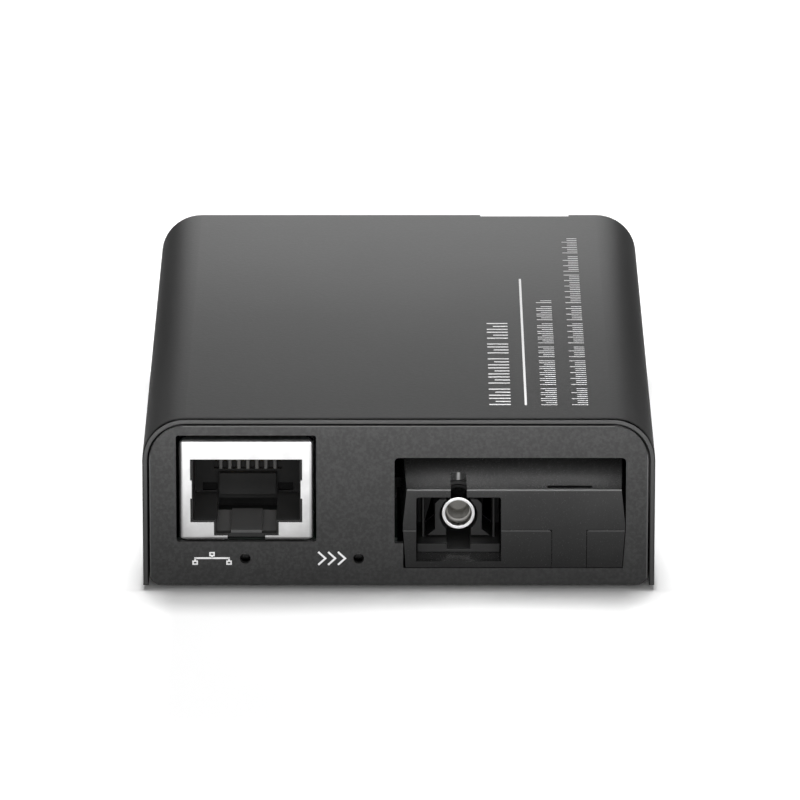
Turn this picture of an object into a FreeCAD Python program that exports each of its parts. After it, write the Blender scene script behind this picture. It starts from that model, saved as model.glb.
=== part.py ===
"""Fibre media converter: a folded steel case with a network jack and a single-fibre port.

All lengths are millimetres.  The origin is the middle of the footprint, on the surface that
the case stands on.  X runs to the right as seen from the front, Y from front to back, Z up.

SIZES holds every length that can be set by itself, and fills the spreadsheet.
PLACES holds what follows from them, each as a formula of sizes and of other places.
Every sketch and feature is bound to such formulas.
"""
import FreeCAD, Part
import os
import re

import Sketcher
from FreeCAD import Vector

SIZES = {
    # folded case
    "case_depth": 85.0,
    "cover_sheet": 0.6,
    "cover_corner": 4.8,
    "cover_gap": 0.15,
    "cover_edge": 0.2,
    "tray_sheet": 0.8,
    "tray_bend": 1.2,
    "tray_edge": 0.12,
    "panel_setback": 0.2,
    "wall_height": 5.2,
    "ear_height": 12.6,
    "ear_half_width": 5.0,
    "corner_relief": 0.5,
    "notch_width": 10.6,
    "notch_depth": 0.6,
    # rubber feet
    "foot_height": 0.5,
    "foot_diameter": 8.0,
    "foot_side_inset": 7.5,
    "foot_end_inset": 8.5,
    # countersunk screws in the sides
    "screw_head": 4.7,
    "screw_shank": 2.4,
    "screw_length": 3.2,
    "screw_sink": 0.05,
    "screw_gap": 0.05,
    "screw_level": 9.5,
    "screw_back_inset": 10.0,
    "screw_front_space": 8.0,
    "collar_wall": 0.8,
    "collar_height": 1.0,
    "recess_width": 0.6,
    "recess_length": 2.4,
    "recess_depth": 0.6,
    # main board and what carries it
    "board_sheet": 1.6,
    "board_side_gap": 0.6,
    "board_end_gap": 0.3,
    "standoff_height": 2.79,
    "standoff_diameter": 5.0,
    "standoff_neck": 3.6,
    "standoff_inset": 4.0,
    "standoff_back_inset": 7.0,
    "standoff_jack_space": 6.0,
    "standoff_optic_space": 7.5,
    "board_screw_head": 4.6,
    "board_screw_rise": 1.7,
    "board_screw_rim": 1.0,
    "board_screw_crown": 3.0,
    "board_screw_shank": 2.4,
    "board_screw_length": 3.8,
    "board_hole_gap": 0.2,
    # network jack
    "jack_margin": 3.74,
    "jack_width": 14.93,
    "jack_height": 11.76,
    "jack_length": 16.0,
    "jack_headroom": 1.8,
    "jack_cut_gap": 0.33,
    "jack_cut_rise": 0.47,
    "jack_cut_drop": 0.12,
    "jack_cut_corner": 0.3,
    "shield_sheet": 0.3,
    "shield_bend": 0.45,
    "shield_corner_cut": 0.5,
    "shield_corner_depth": 1.2,
    "shield_foot_cut_width": 1.0,
    "shield_foot_cut_height": 0.4,
    "shield_lip": 2.4,
    "shield_leg_width": 1.5,
    "shield_leg_place": 10.6,
    "mouth_half_width": 6.225,
    "mouth_top": 9.45,
    "mouth_bump": 0.17,
    "mouth_bump_top": 7.0,
    "mouth_bump_bottom": 4.9,
    "ledge_level": 2.15,
    "latch_half_width": 3.6,
    "latch_level": 0.6,
    "lip_gap_half": 2.1,
    "housing_gap": 0.05,
    "plug_half_width": 5.95,
    "plug_top": 9.3,
    "plug_ledge": 2.31,
    "latch_room_half": 3.35,
    "latch_floor": 0.76,
    "latch_pad_half": 1.73,
    "latch_pad_rise": 0.4,
    "latch_pad_length": 8.0,
    "plug_depth": 11.0,
    "plug_stop_half": 3.2,
    "plug_stop_top": 4.75,
    "plug_stop_depth": 1.0,
    "stop_hole_half": 1.7,
    "stop_hole_low": 2.45,
    "stop_hole_high": 3.4,
    "back_wall": 1.0,
    "peg_diameter": 3.1,
    "peg_place": 7.2,
    "peg_spread": 5.7,
    "peg_drop": 2.6,
    "contact_count": 8,
    "contact_pitch": 1.016,
    "contact_width": 0.36,
    "contact_sheet": 0.28,
    "contact_level": 10.3,
    "contact_bend_place": 2.4,
    "contact_tip_place": 11.4,
    "contact_tip_level": 5.9,
    "contact_slot_gap": 0.08,
    "contact_slot_rise": 0.3,
    "contact_slot_start": 1.5,
    "comb_low": 5.0,
    "comb_depth": 0.6,
    "contact_row_near": 13.9,
    "contact_row_far": 14.9,
    "tail_drop": 2.6,
    "tail_hole_gap": 0.15,
    "block_half_width": 5.2,
    "block_low": 2.6,
    "block_gap": 0.05,
    # status lights under the board
    "light_hole": 1.2,
    "led_width": 1.6,
    "led_height": 1.0,
    "led_length": 1.3,
    "lens_length": 0.4,
    "lens_inset": 0.25,
    "link_led_shift": 0.14,
    "speed_led_inset": 4.0,
    # fibre module shells
    "port_spacing": 8.7,
    "optic_margin": 3.22,
    "optic_left_gap": 0.94,
    "optic_right_gap": 0.08,
    "optic_cut_slant": 0.3,
    "optic_cut_drop": 0.08,
    "optic_cut_rise": 3.69,
    "optic_cut_corner": 0.5,
    "optic_step_width": 0.97,
    "optic_step_rise": 2.9,
    "optic_floor_gap": 1.25,
    "optic_length": 36.0,
    "optic_half": 12.365,
    "optic_top_half": 11.945,
    "optic_low_half": 12.07,
    "optic_flare": 0.35,
    "optic_flare_length": 12.0,
    "lower_shell_height": 4.39,
    "upper_shell_height": 4.69,
    "shell_belt": 0.66,
    "shell_wall": 1.2,
    "shell_floor": 1.0,
    "shell_edge": 0.18,
    "parting_gap": 0.05,
    "tongue_left": 4.245,
    "tongue_right": 8.065,
    "tongue_corner": 0.3,
    "slit_left": 3.7,
    "slit_right": 8.7,
    "slit_place": 0.7,
    "slit_width": 0.9,
    "slit_depth": 0.9,
    "shell_ear_reach": 2.7,
    "shell_ear_length": 4.0,
    "shell_ear_rise": 1.2,
    "shell_ear_place": 18.0,
    "shell_ear_gap": 0.3,
    "shell_peg": 1.5,
    "shell_peg_drop": 1.5,
    # single-fibre port
    "port_left": 1.48,
    "port_width": 9.45,
    "port_height": 7.18,
    "port_depth": 16.0,
    "port_rib": 0.8,
    "port_corner": 0.3,
    "key_width": 1.8,
    "key_length": 6.55,
    "key_corner": 0.89,
    "lead_in_length": 2.3,
    "lead_in_drop": 0.3,
    "carrier_gap": 0.1,
    "carrier_floor": 1.0,
    "carrier_floor_start": 2.5,
    "carrier_groove_half": 1.28,
    "carrier_groove_depth": 0.6,
    "carrier_arm_start": 5.0,
    "carrier_plate_start": 10.4,
    "carrier_plate_sheet": 1.9,
    "carrier_height": 5.55,
    "arm_inner": 1.36,
    "arm_outer": 2.65,
    "arm_low": 1.15,
    "arm_high": 5.4,
    "arm_foot_reach": 3.6,
    "arm_foot_rise": 0.75,
    "arm_top_cut": 0.5,
    "arm_barrel_gap": 0.25,
    "guard_inner": 3.8,
    "guard_outer": 4.08,
    "collar_diameter": 4.7,
    # optical sub-assembly
    "barrel_start": 5.6,
    "barrel_diameter": 3.74,
    "barrel_mouth": 3.1,
    "barrel_bore": 2.75,
    "barrel_lip": 1.8,
    "barrel_length": 10.1,
    "barrel_chamfer": 0.25,
    "sleeve_diameter": 3.1,
    "sleeve_bore": 2.5,
    "sleeve_length": 6.8,
    "sleeve_slit": 0.4,
    "sleeve_gap": 0.02,
    "stub_start": 10.2,
    "holder_flange": 5.4,
    "holder_flange_length": 1.8,
    "prism_block": 6.5,
    "prism_length": 6.5,
    "prism_room": 3.0,
    "light_path": 1.6,
    "filter_sheet": 0.3,
    "can_cap": 4.6,
    "can_cap_length": 3.0,
    "can_flange": 5.6,
    "can_flange_sheet": 1.2,
    "can_lead": 0.45,
    "can_lead_spread": 1.27,
    "can_lead_length": 3.0,
    "optic_board_sheet": 0.8,
    "optic_board_gap": 0.3,
    "optic_board_front": 3.0,
    "rib_width": 0.9,
    "driver_chip_size": 4.0,
    "driver_chip_rise": 0.9,
    "driver_chip_place": 12.0,
    "pin_count": 9,
    "pin_pitch": 1.27,
    "pin_width": 0.45,
    "pin_start": 31.5,
    "pin_reach": 1.6,
    "pin_slot_gap": 0.1,
    # power jack
    "power_side_inset": 13.4,
    "power_width": 9.0,
    "power_height": 11.0,
    "power_length": 14.2,
    "power_face_length": 3.6,
    "power_axis_level": 6.5,
    "power_bore": 6.4,
    "power_bore_depth": 10.4,
    "power_step": 0.3,
    "power_corner": 0.5,
    "power_cut_gap": 0.2,
    "power_face_setback": 0.1,
    "power_pin": 2.1,
    "power_pin_setback": 1.2,
    "power_pin_round": 0.6,
    "power_tail_width": 2.0,
    "power_tail_sheet": 0.3,
    "power_tail_gap": 0.05,
    "power_spring_place": 7.0,
    "power_spring_lift": 0.5,
    # parts on the board
    "converter_chip_size": 9.0,
    "converter_chip_rise": 0.9,
    "converter_chip_space": 18.0,
    "magnetics_width": 12.7,
    "magnetics_length": 9.5,
    "magnetics_rise": 5.4,
    "magnetics_space": 3.2,
    "magnetics_shift": 4.2,
    "magnetics_leg": 0.5,
    "magnetics_leg_reach": 1.2,
    "magnetics_leg_pitch": 1.27,
    "magnetics_leg_count": 8,
    "memory_space": 1.6,
    "memory_length": 4.9,
    "memory_width": 3.9,
    "memory_rise": 1.5,
    "memory_leg": 0.4,
    "memory_leg_reach": 1.0,
    "memory_leg_pitch": 1.27,
    "memory_leg_count": 4,
    "leg_sheet": 0.2,
    "crystal_space": 2.3,
    "crystal_length": 11.0,
    "crystal_width": 4.6,
    "crystal_rise": 3.6,
    "crystal_round": 2.2,
    "regulator_space": 2.4,
    "regulator_length": 6.5,
    "regulator_width": 3.5,
    "regulator_rise": 1.6,
    "regulator_leg": 0.9,
    "regulator_leg_pitch": 2.3,
    "regulator_leg_count": 3,
    "inductor_size": 6.0,
    "inductor_rise": 2.8,
    "inductor_drum": 5.2,
    "inductor_flange": 0.5,
    "capacitor_inset": 6.6,
    "capacitor_diameter": 6.3,
    "capacitor_rise": 7.7,
    "capacitor_base": 6.6,
    "capacitor_base_rise": 0.9,
    "capacitor_pitch": 8.4,
    "small_part_length": 1.6,
    "small_part_width": 0.8,
    "small_part_rise": 0.7,
    "small_part_pitch": 2.4,
    "small_part_count": 6,
}

PLACES = {
    # how far a cut runs past a face
    "past": "1",
    # whole case
    "jack_cut_width": "jack_width + 2 * jack_cut_gap",
    "optic_cut_width": "2 * optic_half + optic_left_gap + optic_right_gap",
    "case_width": "jack_margin + jack_cut_width + port_spacing + optic_cut_width + optic_margin",
    "case_half": "case_width / 2",
    "front": "-case_depth / 2",
    "back": "case_depth / 2",
    "under": "foot_height",
    "floor_top": "under + tray_sheet",
    "board_under": "floor_top + standoff_height",
    "board_top": "board_under + board_sheet",
    "jack_top": "board_top + jack_height",
    "cover_inside": "jack_top + jack_headroom",
    "top": "cover_inside + cover_sheet",
    "cover_side_inside": "case_half - cover_sheet",
    "tray_half": "cover_side_inside - cover_gap",
    "wall_inside": "tray_half - tray_sheet",
    "panel_front": "front + panel_setback",
    "panel_inside": "panel_front + tray_sheet",
    "panel_top": "cover_inside - cover_gap",
    "panel_corner": "cover_corner - cover_sheet - cover_gap",
    "rear_outside": "back - panel_setback",
    "rear_inside": "rear_outside - tray_sheet",
    "wall_front": "panel_inside + corner_relief",
    "wall_back": "rear_inside - corner_relief",
    # side screws
    "screw_z": "under + screw_level",
    "screw_back_y": "back - screw_back_inset",
    "screw_front_y": "optic_back + screw_front_space",
    "head_radius": "screw_head / 2",
    "shank_radius": "screw_shank / 2",
    # main board
    "board_half": "wall_inside - board_side_gap",
    "board_front": "panel_inside + board_end_gap",
    "board_back": "rear_inside - board_end_gap",
    "board_hole": "board_screw_shank + 2 * board_hole_gap",
    "standoff_x": "board_half - standoff_inset",
    "standoff_back_y": "board_back - standoff_back_inset",
    "standoff_jack_y": "jack_back + standoff_jack_space",
    "standoff_optic_y": "optic_back + standoff_optic_space",
    "notch_left": "optic_left - optic_flare - shell_ear_gap",
    "notch_back": "optic_back + shell_ear_gap",
    # network jack
    "jack_cut_left": "jack_margin - case_half",
    "jack_cut_right": "jack_cut_left + jack_cut_width",
    "jack_left": "jack_cut_left + jack_cut_gap",
    "jack_right": "jack_left + jack_width",
    "jack_x": "jack_left + jack_width / 2",
    "jack_front": "panel_front",
    "jack_back": "jack_front + jack_length",
    "housing_left": "jack_left + shield_sheet + housing_gap",
    "housing_right": "jack_right - shield_sheet - housing_gap",
    "housing_front": "jack_front + shield_sheet + housing_gap",
    "housing_back": "jack_back - shield_sheet - housing_gap",
    "housing_top": "jack_top - shield_sheet - housing_gap",
    "plug_roof": "board_top + plug_top",
    "plug_end": "jack_front + plug_depth",
    "block_front": "plug_end + back_wall",
    "contact_first_x": "jack_x - contact_pitch * (contact_count - 1) / 2",
    "contact_z": "board_top + contact_level",
    "contact_bend_y": "jack_front + contact_bend_place",
    "contact_tip_y": "jack_front + contact_tip_place",
    "contact_tip_z": "board_top + contact_tip_level",
    "contact_slot_half": "contact_width / 2 + contact_slot_gap",
    "contact_slot_top": "contact_z + contact_sheet / 2 + contact_slot_rise",
    "tail_end": "board_top - tail_drop",
    # status lights
    "light_z": "board_under - led_height / 2",
    "link_led_x": "jack_x - link_led_shift",
    "speed_led_x": "optic_cut_left - speed_led_inset",
    # fibre module
    "optic_cut_left": "jack_cut_right + port_spacing",
    "optic_cut_right": "optic_cut_left + optic_cut_width",
    "optic_cut_bottom": "optic_low - optic_cut_drop",
    "optic_cut_top": "optic_high + optic_cut_rise",
    "optic_left": "optic_cut_left + optic_left_gap",
    "optic_x": "optic_left + optic_half",
    "optic_low": "floor_top + optic_floor_gap",
    "optic_part": "optic_low + lower_shell_height",
    "optic_high": "optic_part + upper_shell_height",
    "optic_front": "panel_front",
    "optic_flare_end": "optic_front + optic_flare_length",
    "optic_back": "optic_front + optic_length",
    "optic_bay_back": "optic_back - shell_wall",
    "bay_half": "optic_top_half - shell_wall",
    "bay_left": "port_right + port_rib",
    "bay_right": "optic_x + bay_half",
    "port_low": "optic_low + shell_floor",
    "port_high": "port_low + port_height",
    "port_left_x": "optic_left + port_left",
    "port_right": "port_left_x + port_width",
    "port_x": "port_left_x + port_width / 2",
    "port_z": "port_low + port_height / 2",
    "port_back": "optic_front + port_depth",
    # optical sub-assembly
    "barrel_end": "barrel_start + barrel_length",
    "sleeve_start": "barrel_start + barrel_lip",
    "sleeve_end": "sleeve_start + sleeve_length",
    "holder_end": "barrel_end + holder_flange_length",
    "prism_end": "holder_end + prism_length",
    "prism_middle": "optic_front + holder_end + prism_length / 2",
    "prism_right": "port_x + prism_block / 2",
    "can_length": "can_cap_length + can_flange_sheet",
    "laser_end": "prism_end + can_length",
    "receiver_end": "prism_right + can_length",
    "optic_board_top": "port_z - can_lead / 2",
    "optic_board_under": "optic_board_top - optic_board_sheet",
    "optic_board_left": "receiver_end + optic_board_gap",
    "optic_board_right": "bay_right - optic_board_gap",
    "optic_board_strip": "optic_front + laser_end + optic_board_gap",
    "optic_board_back": "optic_bay_back - optic_board_gap",
    "pin_first_x": "optic_x - pin_pitch * (pin_count - 1) / 2",
    "pin_top": "optic_board_top + pin_width",
    "pin_drop_y": "optic_back + pin_reach",
    # power jack
    "power_x": "case_half - power_side_inset",
    "power_back": "rear_outside - power_face_setback",
    "power_front": "power_back - power_length",
    "power_z": "board_top + power_axis_level",
    "power_top": "board_top + power_height",
    "power_half": "power_width / 2",
    "power_body_half": "power_half - power_step",
    "power_bore_end": "power_back - power_bore_depth",
    "power_wall": "power_bore_end - power_front",
    "power_pin_tail_y": "power_front + power_wall / 2",
    "power_spring_y": "power_back - power_spring_place",
    # parts on the board
    "magnetics_front": "jack_back + magnetics_space",
    "magnetics_x": "jack_x + magnetics_shift",
    "converter_front": "jack_back + converter_chip_space",
    "converter_back": "converter_front + converter_chip_size",
    "memory_x": "magnetics_x + (converter_chip_size + memory_length) / 2 + memory_space",
    "crystal_front": "converter_back + crystal_space",
    "resistor_front": "crystal_front + crystal_width + crystal_space",
    "capacitor_y": "board_back - capacitor_inset",
    "capacitor_first_x": "power_x - power_half - capacitor_inset",
    "regulator_x": "capacitor_first_x - capacitor_pitch",
    "regulator_front": "capacitor_y - capacitor_base / 2 - regulator_space - regulator_width",
    "inductor_y": "power_front - inductor_size",
}

SIDES = (-1, 1)
TOUCH = 0.01

doc = FreeCAD.newDocument("media_converter")
sheet = doc.addObject("Spreadsheet::Sheet", "Sizes")
for row, (size_name, size) in enumerate(SIZES.items(), 1):
    sheet.set(f"A{row}", size_name)
    sheet.set(f"B{row}", str(size))
    sheet.setAlias(f"B{row}", size_name)
doc.recompute()
parts = []


# ---------------------------------------------------------------- formulas

def expand(text, prefix):
    """Write a formula out in sizes only, each with the prefix."""
    def word(match):
        name = match.group(0)
        if name in PLACES:
            return "(" + expand(PLACES[name], prefix) + ")"
        return prefix + name if name in SIZES else name
    return re.sub(r"[a-z_]+", word, str(text))


def bind(thing, field, text):
    """Tie a field of an object to a formula."""
    thing.setExpression(field, expand(text, "Sizes."))


def measure(text):
    """The value of a formula now."""
    return float(sheet.evalExpression(expand(text, "")))


# ---------------------------------------------------------------- outlines

def box(left, right, low, high):
    """A four-cornered outline."""
    return [(left, low), (right, low), (right, high), (left, high)]


def about(middle, half):
    """The two ends of a span."""
    return f"({middle}) - ({half})", f"({middle}) + ({half})"


def circle(across, up, diameter):
    """A round outline."""
    return across, up, diameter


def hold(sketch, kind, shape, end, text):
    """Hold one end of a line, or a circle's middle or width, at a formula."""
    if kind == "Diameter":
        rule = Sketcher.Constraint(kind, shape, measure(text))
    else:
        rule = Sketcher.Constraint(kind, -1, 1, shape, end, measure(text))
    number = sketch.addConstraint(rule)
    sketch.renameConstraint(number, f"{kind}{shape}")
    bind(sketch, f"Constraints.{kind}{shape}", text)


def draw_round(sketch, outline):
    """Draw a circle held by its middle and its diameter."""
    across, up, diameter = outline
    middle = Vector(measure(across), measure(up), 0)
    shape = sketch.addGeometry(Part.Circle(middle, Vector(0, 0, 1), measure(diameter) / 2))
    hold(sketch, "DistanceX", shape, 3, across)
    hold(sketch, "DistanceY", shape, 3, up)
    hold(sketch, "Diameter", shape, 0, diameter)


def draw_straight(sketch, outline):
    """Draw a closed run of lines held by their corners."""
    corners = [Vector(measure(across), measure(up), 0) for across, up in outline]
    first = sketch.GeometryCount
    for number, corner in enumerate(corners):
        sketch.addGeometry(Part.LineSegment(corner, corners[(number + 1) % len(corners)]))
    for number, (across, up) in enumerate(outline):
        line = first + number
        after = first + (number + 1) % len(outline)
        sketch.addConstraint(Sketcher.Constraint("Coincident", line, 2, after, 1))
        hold(sketch, "DistanceX", line, 1, across)
        hold(sketch, "DistanceY", line, 1, up)


def new_sketch(body, plane_role, outlines):
    """A sketch on one of the body's own planes."""
    sketch = body.newObject("Sketcher::SketchObject", "outline")
    plane = next(item for item in body.Origin.OriginFeatures if item.Role == plane_role)
    sketch.AttachmentSupport = (plane, "")
    sketch.MapMode = "FlatFace"
    for outline in outlines:
        if isinstance(outline, tuple):
            draw_round(sketch, outline)
        else:
            draw_straight(sketch, outline)
    return sketch


# ---------------------------------------------------------------- features

def new_part(name):
    """A body for one piece, or for a group of like pieces."""
    body = doc.addObject("PartDesign::Body", name)
    body.Label = name
    body.AllowCompound = True
    parts.append(body)
    return body


def flat_sketch(body, axis, place, outlines):
    """A sketch square to an axis, at a place along it."""
    role, sign = {"x": ("YZ_Plane", ""), "y": ("XZ_Plane", "-"), "z": ("XY_Plane", "")}[axis]
    sketch = new_sketch(body, role, outlines)
    bind(sketch, "AttachmentOffset.Base.z", f"{sign}({place})")
    return sketch


def run(body, axis, start, end, *outlines, cut=False):
    """Fill, or cut, outlines from one place to another along an axis.

    Outlines square to x are (y, z) pairs, square to y (x, z) and square to z (x, y).
    """
    sketch = flat_sketch(body, axis, start, outlines)
    feature = body.newObject("PartDesign::Pocket" if cut else "PartDesign::Pad", "run")
    feature.Profile = sketch
    bind(feature, "Length", f"({end}) - ({start})")
    feature.Reversed = cut != (axis == "y")
    body.Tip = feature
    return feature


def cut_run(body, axis, start, end, *outlines):
    """Cut outlines from one place to another along an axis."""
    return run(body, axis, start, end, *outlines, cut=True)


def turn(body, axis, middle, profile, cut=False):
    """Turn a profile of (distance along, radius) pairs about an axis through middle."""
    across, deep, up = middle
    role, line, base = {
        "x": ("XY_Plane", "H_Axis", (across, deep, up)),
        "y": ("YZ_Plane", "H_Axis", (deep, up, across)),
        "z": ("XZ_Plane", "V_Axis", (across, up, f"-({deep})")),
    }[axis]
    outline = [(far, along) for along, far in profile] if axis == "z" else profile
    sketch = new_sketch(body, role, [outline])
    for field, place in zip("xyz", base):
        bind(sketch, f"AttachmentOffset.Base.{field}", place)
    feature = body.newObject("PartDesign::Groove" if cut else "PartDesign::Revolution", "turn")
    feature.Profile = sketch
    feature.ReferenceAxis = (sketch, [line])
    feature.Angle = 360
    body.Tip = feature
    return feature


def taper(body, start, end, start_outline, end_outline):
    """Fill between an outline at one y and its like at another."""
    near = flat_sketch(body, "y", start, [start_outline])
    far = flat_sketch(body, "y", end, [end_outline])
    feature = body.newObject("PartDesign::AdditiveLoft", "taper")
    feature.Profile = near
    feature.Sections = [far]
    feature.Ruled = True
    body.Tip = feature
    return feature


def repeat(body, features, axis, pitch, count):
    """Repeat features in a row along an axis."""
    pattern = body.newObject("PartDesign::LinearPattern", "row")
    pattern.Originals = features
    role = {"x": "X_Axis", "y": "Y_Axis"}[axis]
    line = next(item for item in body.Origin.OriginFeatures if item.Role == role)
    pattern.Direction = (line, [""])
    pattern.Mode = "Spacing"
    bind(pattern, "Offset", pitch)
    bind(pattern, "Occurrences", count)
    body.Tip = pattern
    return pattern


def edges_at(body, where):
    """Names of the edges that lie at the given places: an axis letter and its formulas."""
    doc.recompute()
    wanted = {axis: [measure(text) for text in texts] for axis, texts in where.items()}
    found = []
    for number, edge in enumerate(body.Tip.Shape.Edges, 1):
        bounds = edge.BoundBox
        spans = {
            "x": (bounds.XMin, bounds.XMax),
            "y": (bounds.YMin, bounds.YMax),
            "z": (bounds.ZMin, bounds.ZMax),
        }
        matches = [
            any(abs(spans[axis][0] - place) < TOUCH > abs(spans[axis][1] - place) for place in places)
            for axis, places in wanted.items()
        ]
        if all(matches):
            found.append(f"Edge{number}")
    return found


def soften(body, size, kind="PartDesign::Fillet", leave=None, **where):
    """Round, or bevel, the edges at the given places, except those at the places to leave."""
    kept = set(edges_at(body, leave)) if leave else set()
    names = [name for name in edges_at(body, where) if name not in kept]
    base = body.Tip
    feature = body.newObject(kind, "edge")
    feature.Base = (base, names)
    bind(feature, "Radius" if kind.endswith("Fillet") else "Size", size)
    body.Tip = feature
    return feature


# ---------------------------------------------------------------- case

def sunk_head(grow):
    """Profile of a countersunk screw from its face inwards, all of it larger by grow."""
    head = f"head_radius + {grow}"
    shank = f"shank_radius + {grow}"
    depth = "screw_sink + head_radius - shank_radius"
    return [("0", "0"), ("0", head), ("screw_sink", head), (depth, shank)]


def mirrored(profile, side):
    """The profile with its distances along measured the other way on the right side."""
    return [(f"{-side} * ({along})", far) for along, far in profile]


def side_screw_places():
    """Middle of each countersunk screw's face, with its side."""
    for side in SIDES:
        for deep in ("screw_front_y", "screw_back_y"):
            yield side, (f"{side} * case_half", deep, "screw_z")


def make_top_cover():
    """Sheet folded down at both sides, with a shallow notch over the power jack."""
    cover = new_part("top_cover")
    run(cover, "y", "front", "back", box("-case_half", "case_half", "under", "top"))
    inside = box("-cover_side_inside", "cover_side_inside", "under - past", "cover_inside")
    cut_run(cover, "y", "front", "back", inside)
    sides = ["-cover_side_inside", "cover_side_inside"]
    soften(cover, "cover_corner - cover_sheet", x=sides, z=["cover_inside"])
    soften(cover, "cover_corner", x=["-case_half", "case_half"], z=["top"])
    soften(cover, "cover_edge", y=["front"])
    notch = box(*about("power_x", "notch_width / 2"), "back - notch_depth", "back + past")
    cut_run(cover, "z", "cover_inside - past", "top + past", notch)
    for side, middle in side_screw_places():
        hole = sunk_head("screw_gap") + [
            ("cover_sheet + cover_gap", "shank_radius + screw_gap"),
            ("cover_sheet + cover_gap", "0"),
        ]
        turn(cover, "x", middle, mirrored(hole, side), cut=True)


def front_panel_cuts(tray):
    """The openings of the front panel: network jack, fibre module and two light holes."""
    sides = ["jack_cut_left", "jack_cut_right"]
    levels = ["board_top - jack_cut_drop", "jack_top + jack_cut_rise"]
    cut_run(tray, "y", "panel_front", "panel_inside", box(*sides, *levels))
    soften(tray, "jack_cut_corner", x=sides, z=levels)
    step = "optic_cut_bottom + optic_step_rise"
    slant_foot = "optic_cut_right - optic_cut_slant"
    step_side = "optic_cut_left + optic_step_width"
    optic_cut = [
        ("optic_cut_left", step),
        (step_side, step),
        (step_side, "optic_cut_bottom"),
        (slant_foot, "optic_cut_bottom"),
        ("optic_cut_right", "optic_part"),
        ("optic_cut_right", "optic_cut_top"),
        ("optic_cut_left", "optic_cut_top"),
    ]
    cut_run(tray, "y", "panel_front", "panel_inside", optic_cut)
    soften(tray, "optic_cut_corner", x=["optic_cut_left", "optic_cut_right"], z=["optic_cut_top"])
    lights = [circle(across, "light_z", "light_hole") for across in ("link_led_x", "speed_led_x")]
    cut_run(tray, "y", "panel_front", "panel_inside", *lights)


def tray_wall():
    """Outline in y and z of a side wall: low, with an ear at each screw."""
    outline = [("panel_inside", "under"), ("rear_inside", "under"), ("rear_inside", "under + wall_height")]
    for deep in ("screw_back_y", "screw_front_y"):
        near, far = about(deep, "ear_half_width")
        outline += [
            (far, "under + wall_height"),
            (far, "under + ear_height"),
            (near, "under + ear_height"),
            (near, "under + wall_height"),
        ]
    return outline + [("panel_inside", "under + wall_height")]


def standoff_places():
    """Middle of each board standoff."""
    return [
        ("-standoff_x", "standoff_jack_y"),
        ("standoff_x", "standoff_optic_y"),
        ("-standoff_x", "standoff_back_y"),
        ("standoff_x", "standoff_back_y"),
    ]


def make_base_tray():
    """Sheet folded up into a floor, two end panels and two low side walls."""
    tray = new_part("base_tray")
    run(tray, "z", "under", "floor_top", box("-tray_half", "tray_half", "panel_front", "rear_outside"))
    panel = box("-tray_half", "tray_half", "under", "panel_top")
    run(tray, "y", "panel_front", "panel_inside", panel)
    run(tray, "y", "rear_inside", "rear_outside", panel)
    run(tray, "x", "-tray_half", "-wall_inside", tray_wall())
    run(tray, "x", "wall_inside", "tray_half", tray_wall())
    soften(tray, "tray_bend", leave={"y": ["panel_front"]}, z=["under"])
    soften(tray, "tray_bend - tray_sheet", z=["floor_top"])
    soften(tray, "panel_corner", x=["-tray_half", "tray_half"], z=["panel_top"])
    soften(tray, "tray_edge", y=["panel_front"], z=["panel_top"])
    for near, far in (("panel_inside", "wall_front"), ("wall_back", "rear_inside")):
        for start, end in (("-tray_half", "-wall_inside"), ("wall_inside", "tray_half")):
            relief = box(near, far, "under + tray_bend", "under + ear_height")
            cut_run(tray, "x", f"{start} - past", f"{end} + past", relief)
    front_panel_cuts(tray)
    half = "power_half + power_cut_gap"
    power_cut = box(*about("power_x", half), "board_top - power_cut_gap", "power_top + power_cut_gap")
    cut_run(tray, "y", "rear_inside", "rear_outside", power_cut)
    seats = [circle(across, deep, "standoff_neck") for across, deep in standoff_places()]
    cut_run(tray, "z", "under", "floor_top", *seats)
    skin = "cover_sheet + cover_gap"
    for side, middle in side_screw_places():
        end = f"{skin} + tray_sheet + collar_height"
        rim = "shank_radius + screw_gap + collar_wall"
        root = f"{skin} + tray_sheet / 2"
        collar = [(root, "0"), (root, rim), (end, rim), (end, "0")]
        turn(tray, "x", middle, mirrored(collar, side))
        inside = f"{end} + past"
        bore = sunk_head("screw_gap") + [(inside, "shank_radius + screw_gap"), (inside, "0")]
        turn(tray, "x", middle, mirrored(bore, side), cut=True)


def make_cover_screws():
    """Four countersunk screws with a cross recess, two in each side."""
    screws = new_part("cover_screws")
    for side, middle in side_screw_places():
        shank = [(along, far) for along, far in sunk_head("0")[2:]]
        profile = [("screw_sink", "0")] + shank + [
            ("screw_length - screw_sink", "shank_radius"),
            ("screw_length", "shank_radius - screw_sink"),
            ("screw_length", "0"),
        ]
        turn(screws, "x", middle, mirrored(profile, side))
        face = f"{side} * (case_half - screw_sink)"
        floor = f"{side} * (case_half - screw_sink - recess_depth)"
        start, end = (face, floor) if side < 0 else (floor, face)
        deep, up = middle[1:]
        for long_way, short_way in (("recess_length", "recess_width"), ("recess_width", "recess_length")):
            slot = box(*about(deep, f"{long_way} / 2"), *about(up, f"{short_way} / 2"))
            cut_run(screws, "x", start, end, slot)


def make_rubber_feet():
    """Four thin stick-on pads."""
    feet = new_part("rubber_feet")
    for side in SIDES:
        for end in SIDES:
            across = f"{side} * (case_half - foot_side_inset)"
            deep = f"{end} * (back - foot_end_inset)"
            run(feet, "z", "0", "foot_height", circle(across, deep, "foot_diameter"))


# ---------------------------------------------------------------- main board

def shield_leg_places():
    """Span in x of each leg of the jack's shield."""
    return [("jack_left", "jack_left + shield_sheet"), ("jack_right - shield_sheet", "jack_right")]


def contact_rows():
    """First x and tail y of the near and the far row of contacts."""
    return [
        ("contact_first_x", "jack_front + contact_row_near"),
        ("contact_first_x + contact_pitch", "jack_front + contact_row_far"),
    ]


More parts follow.
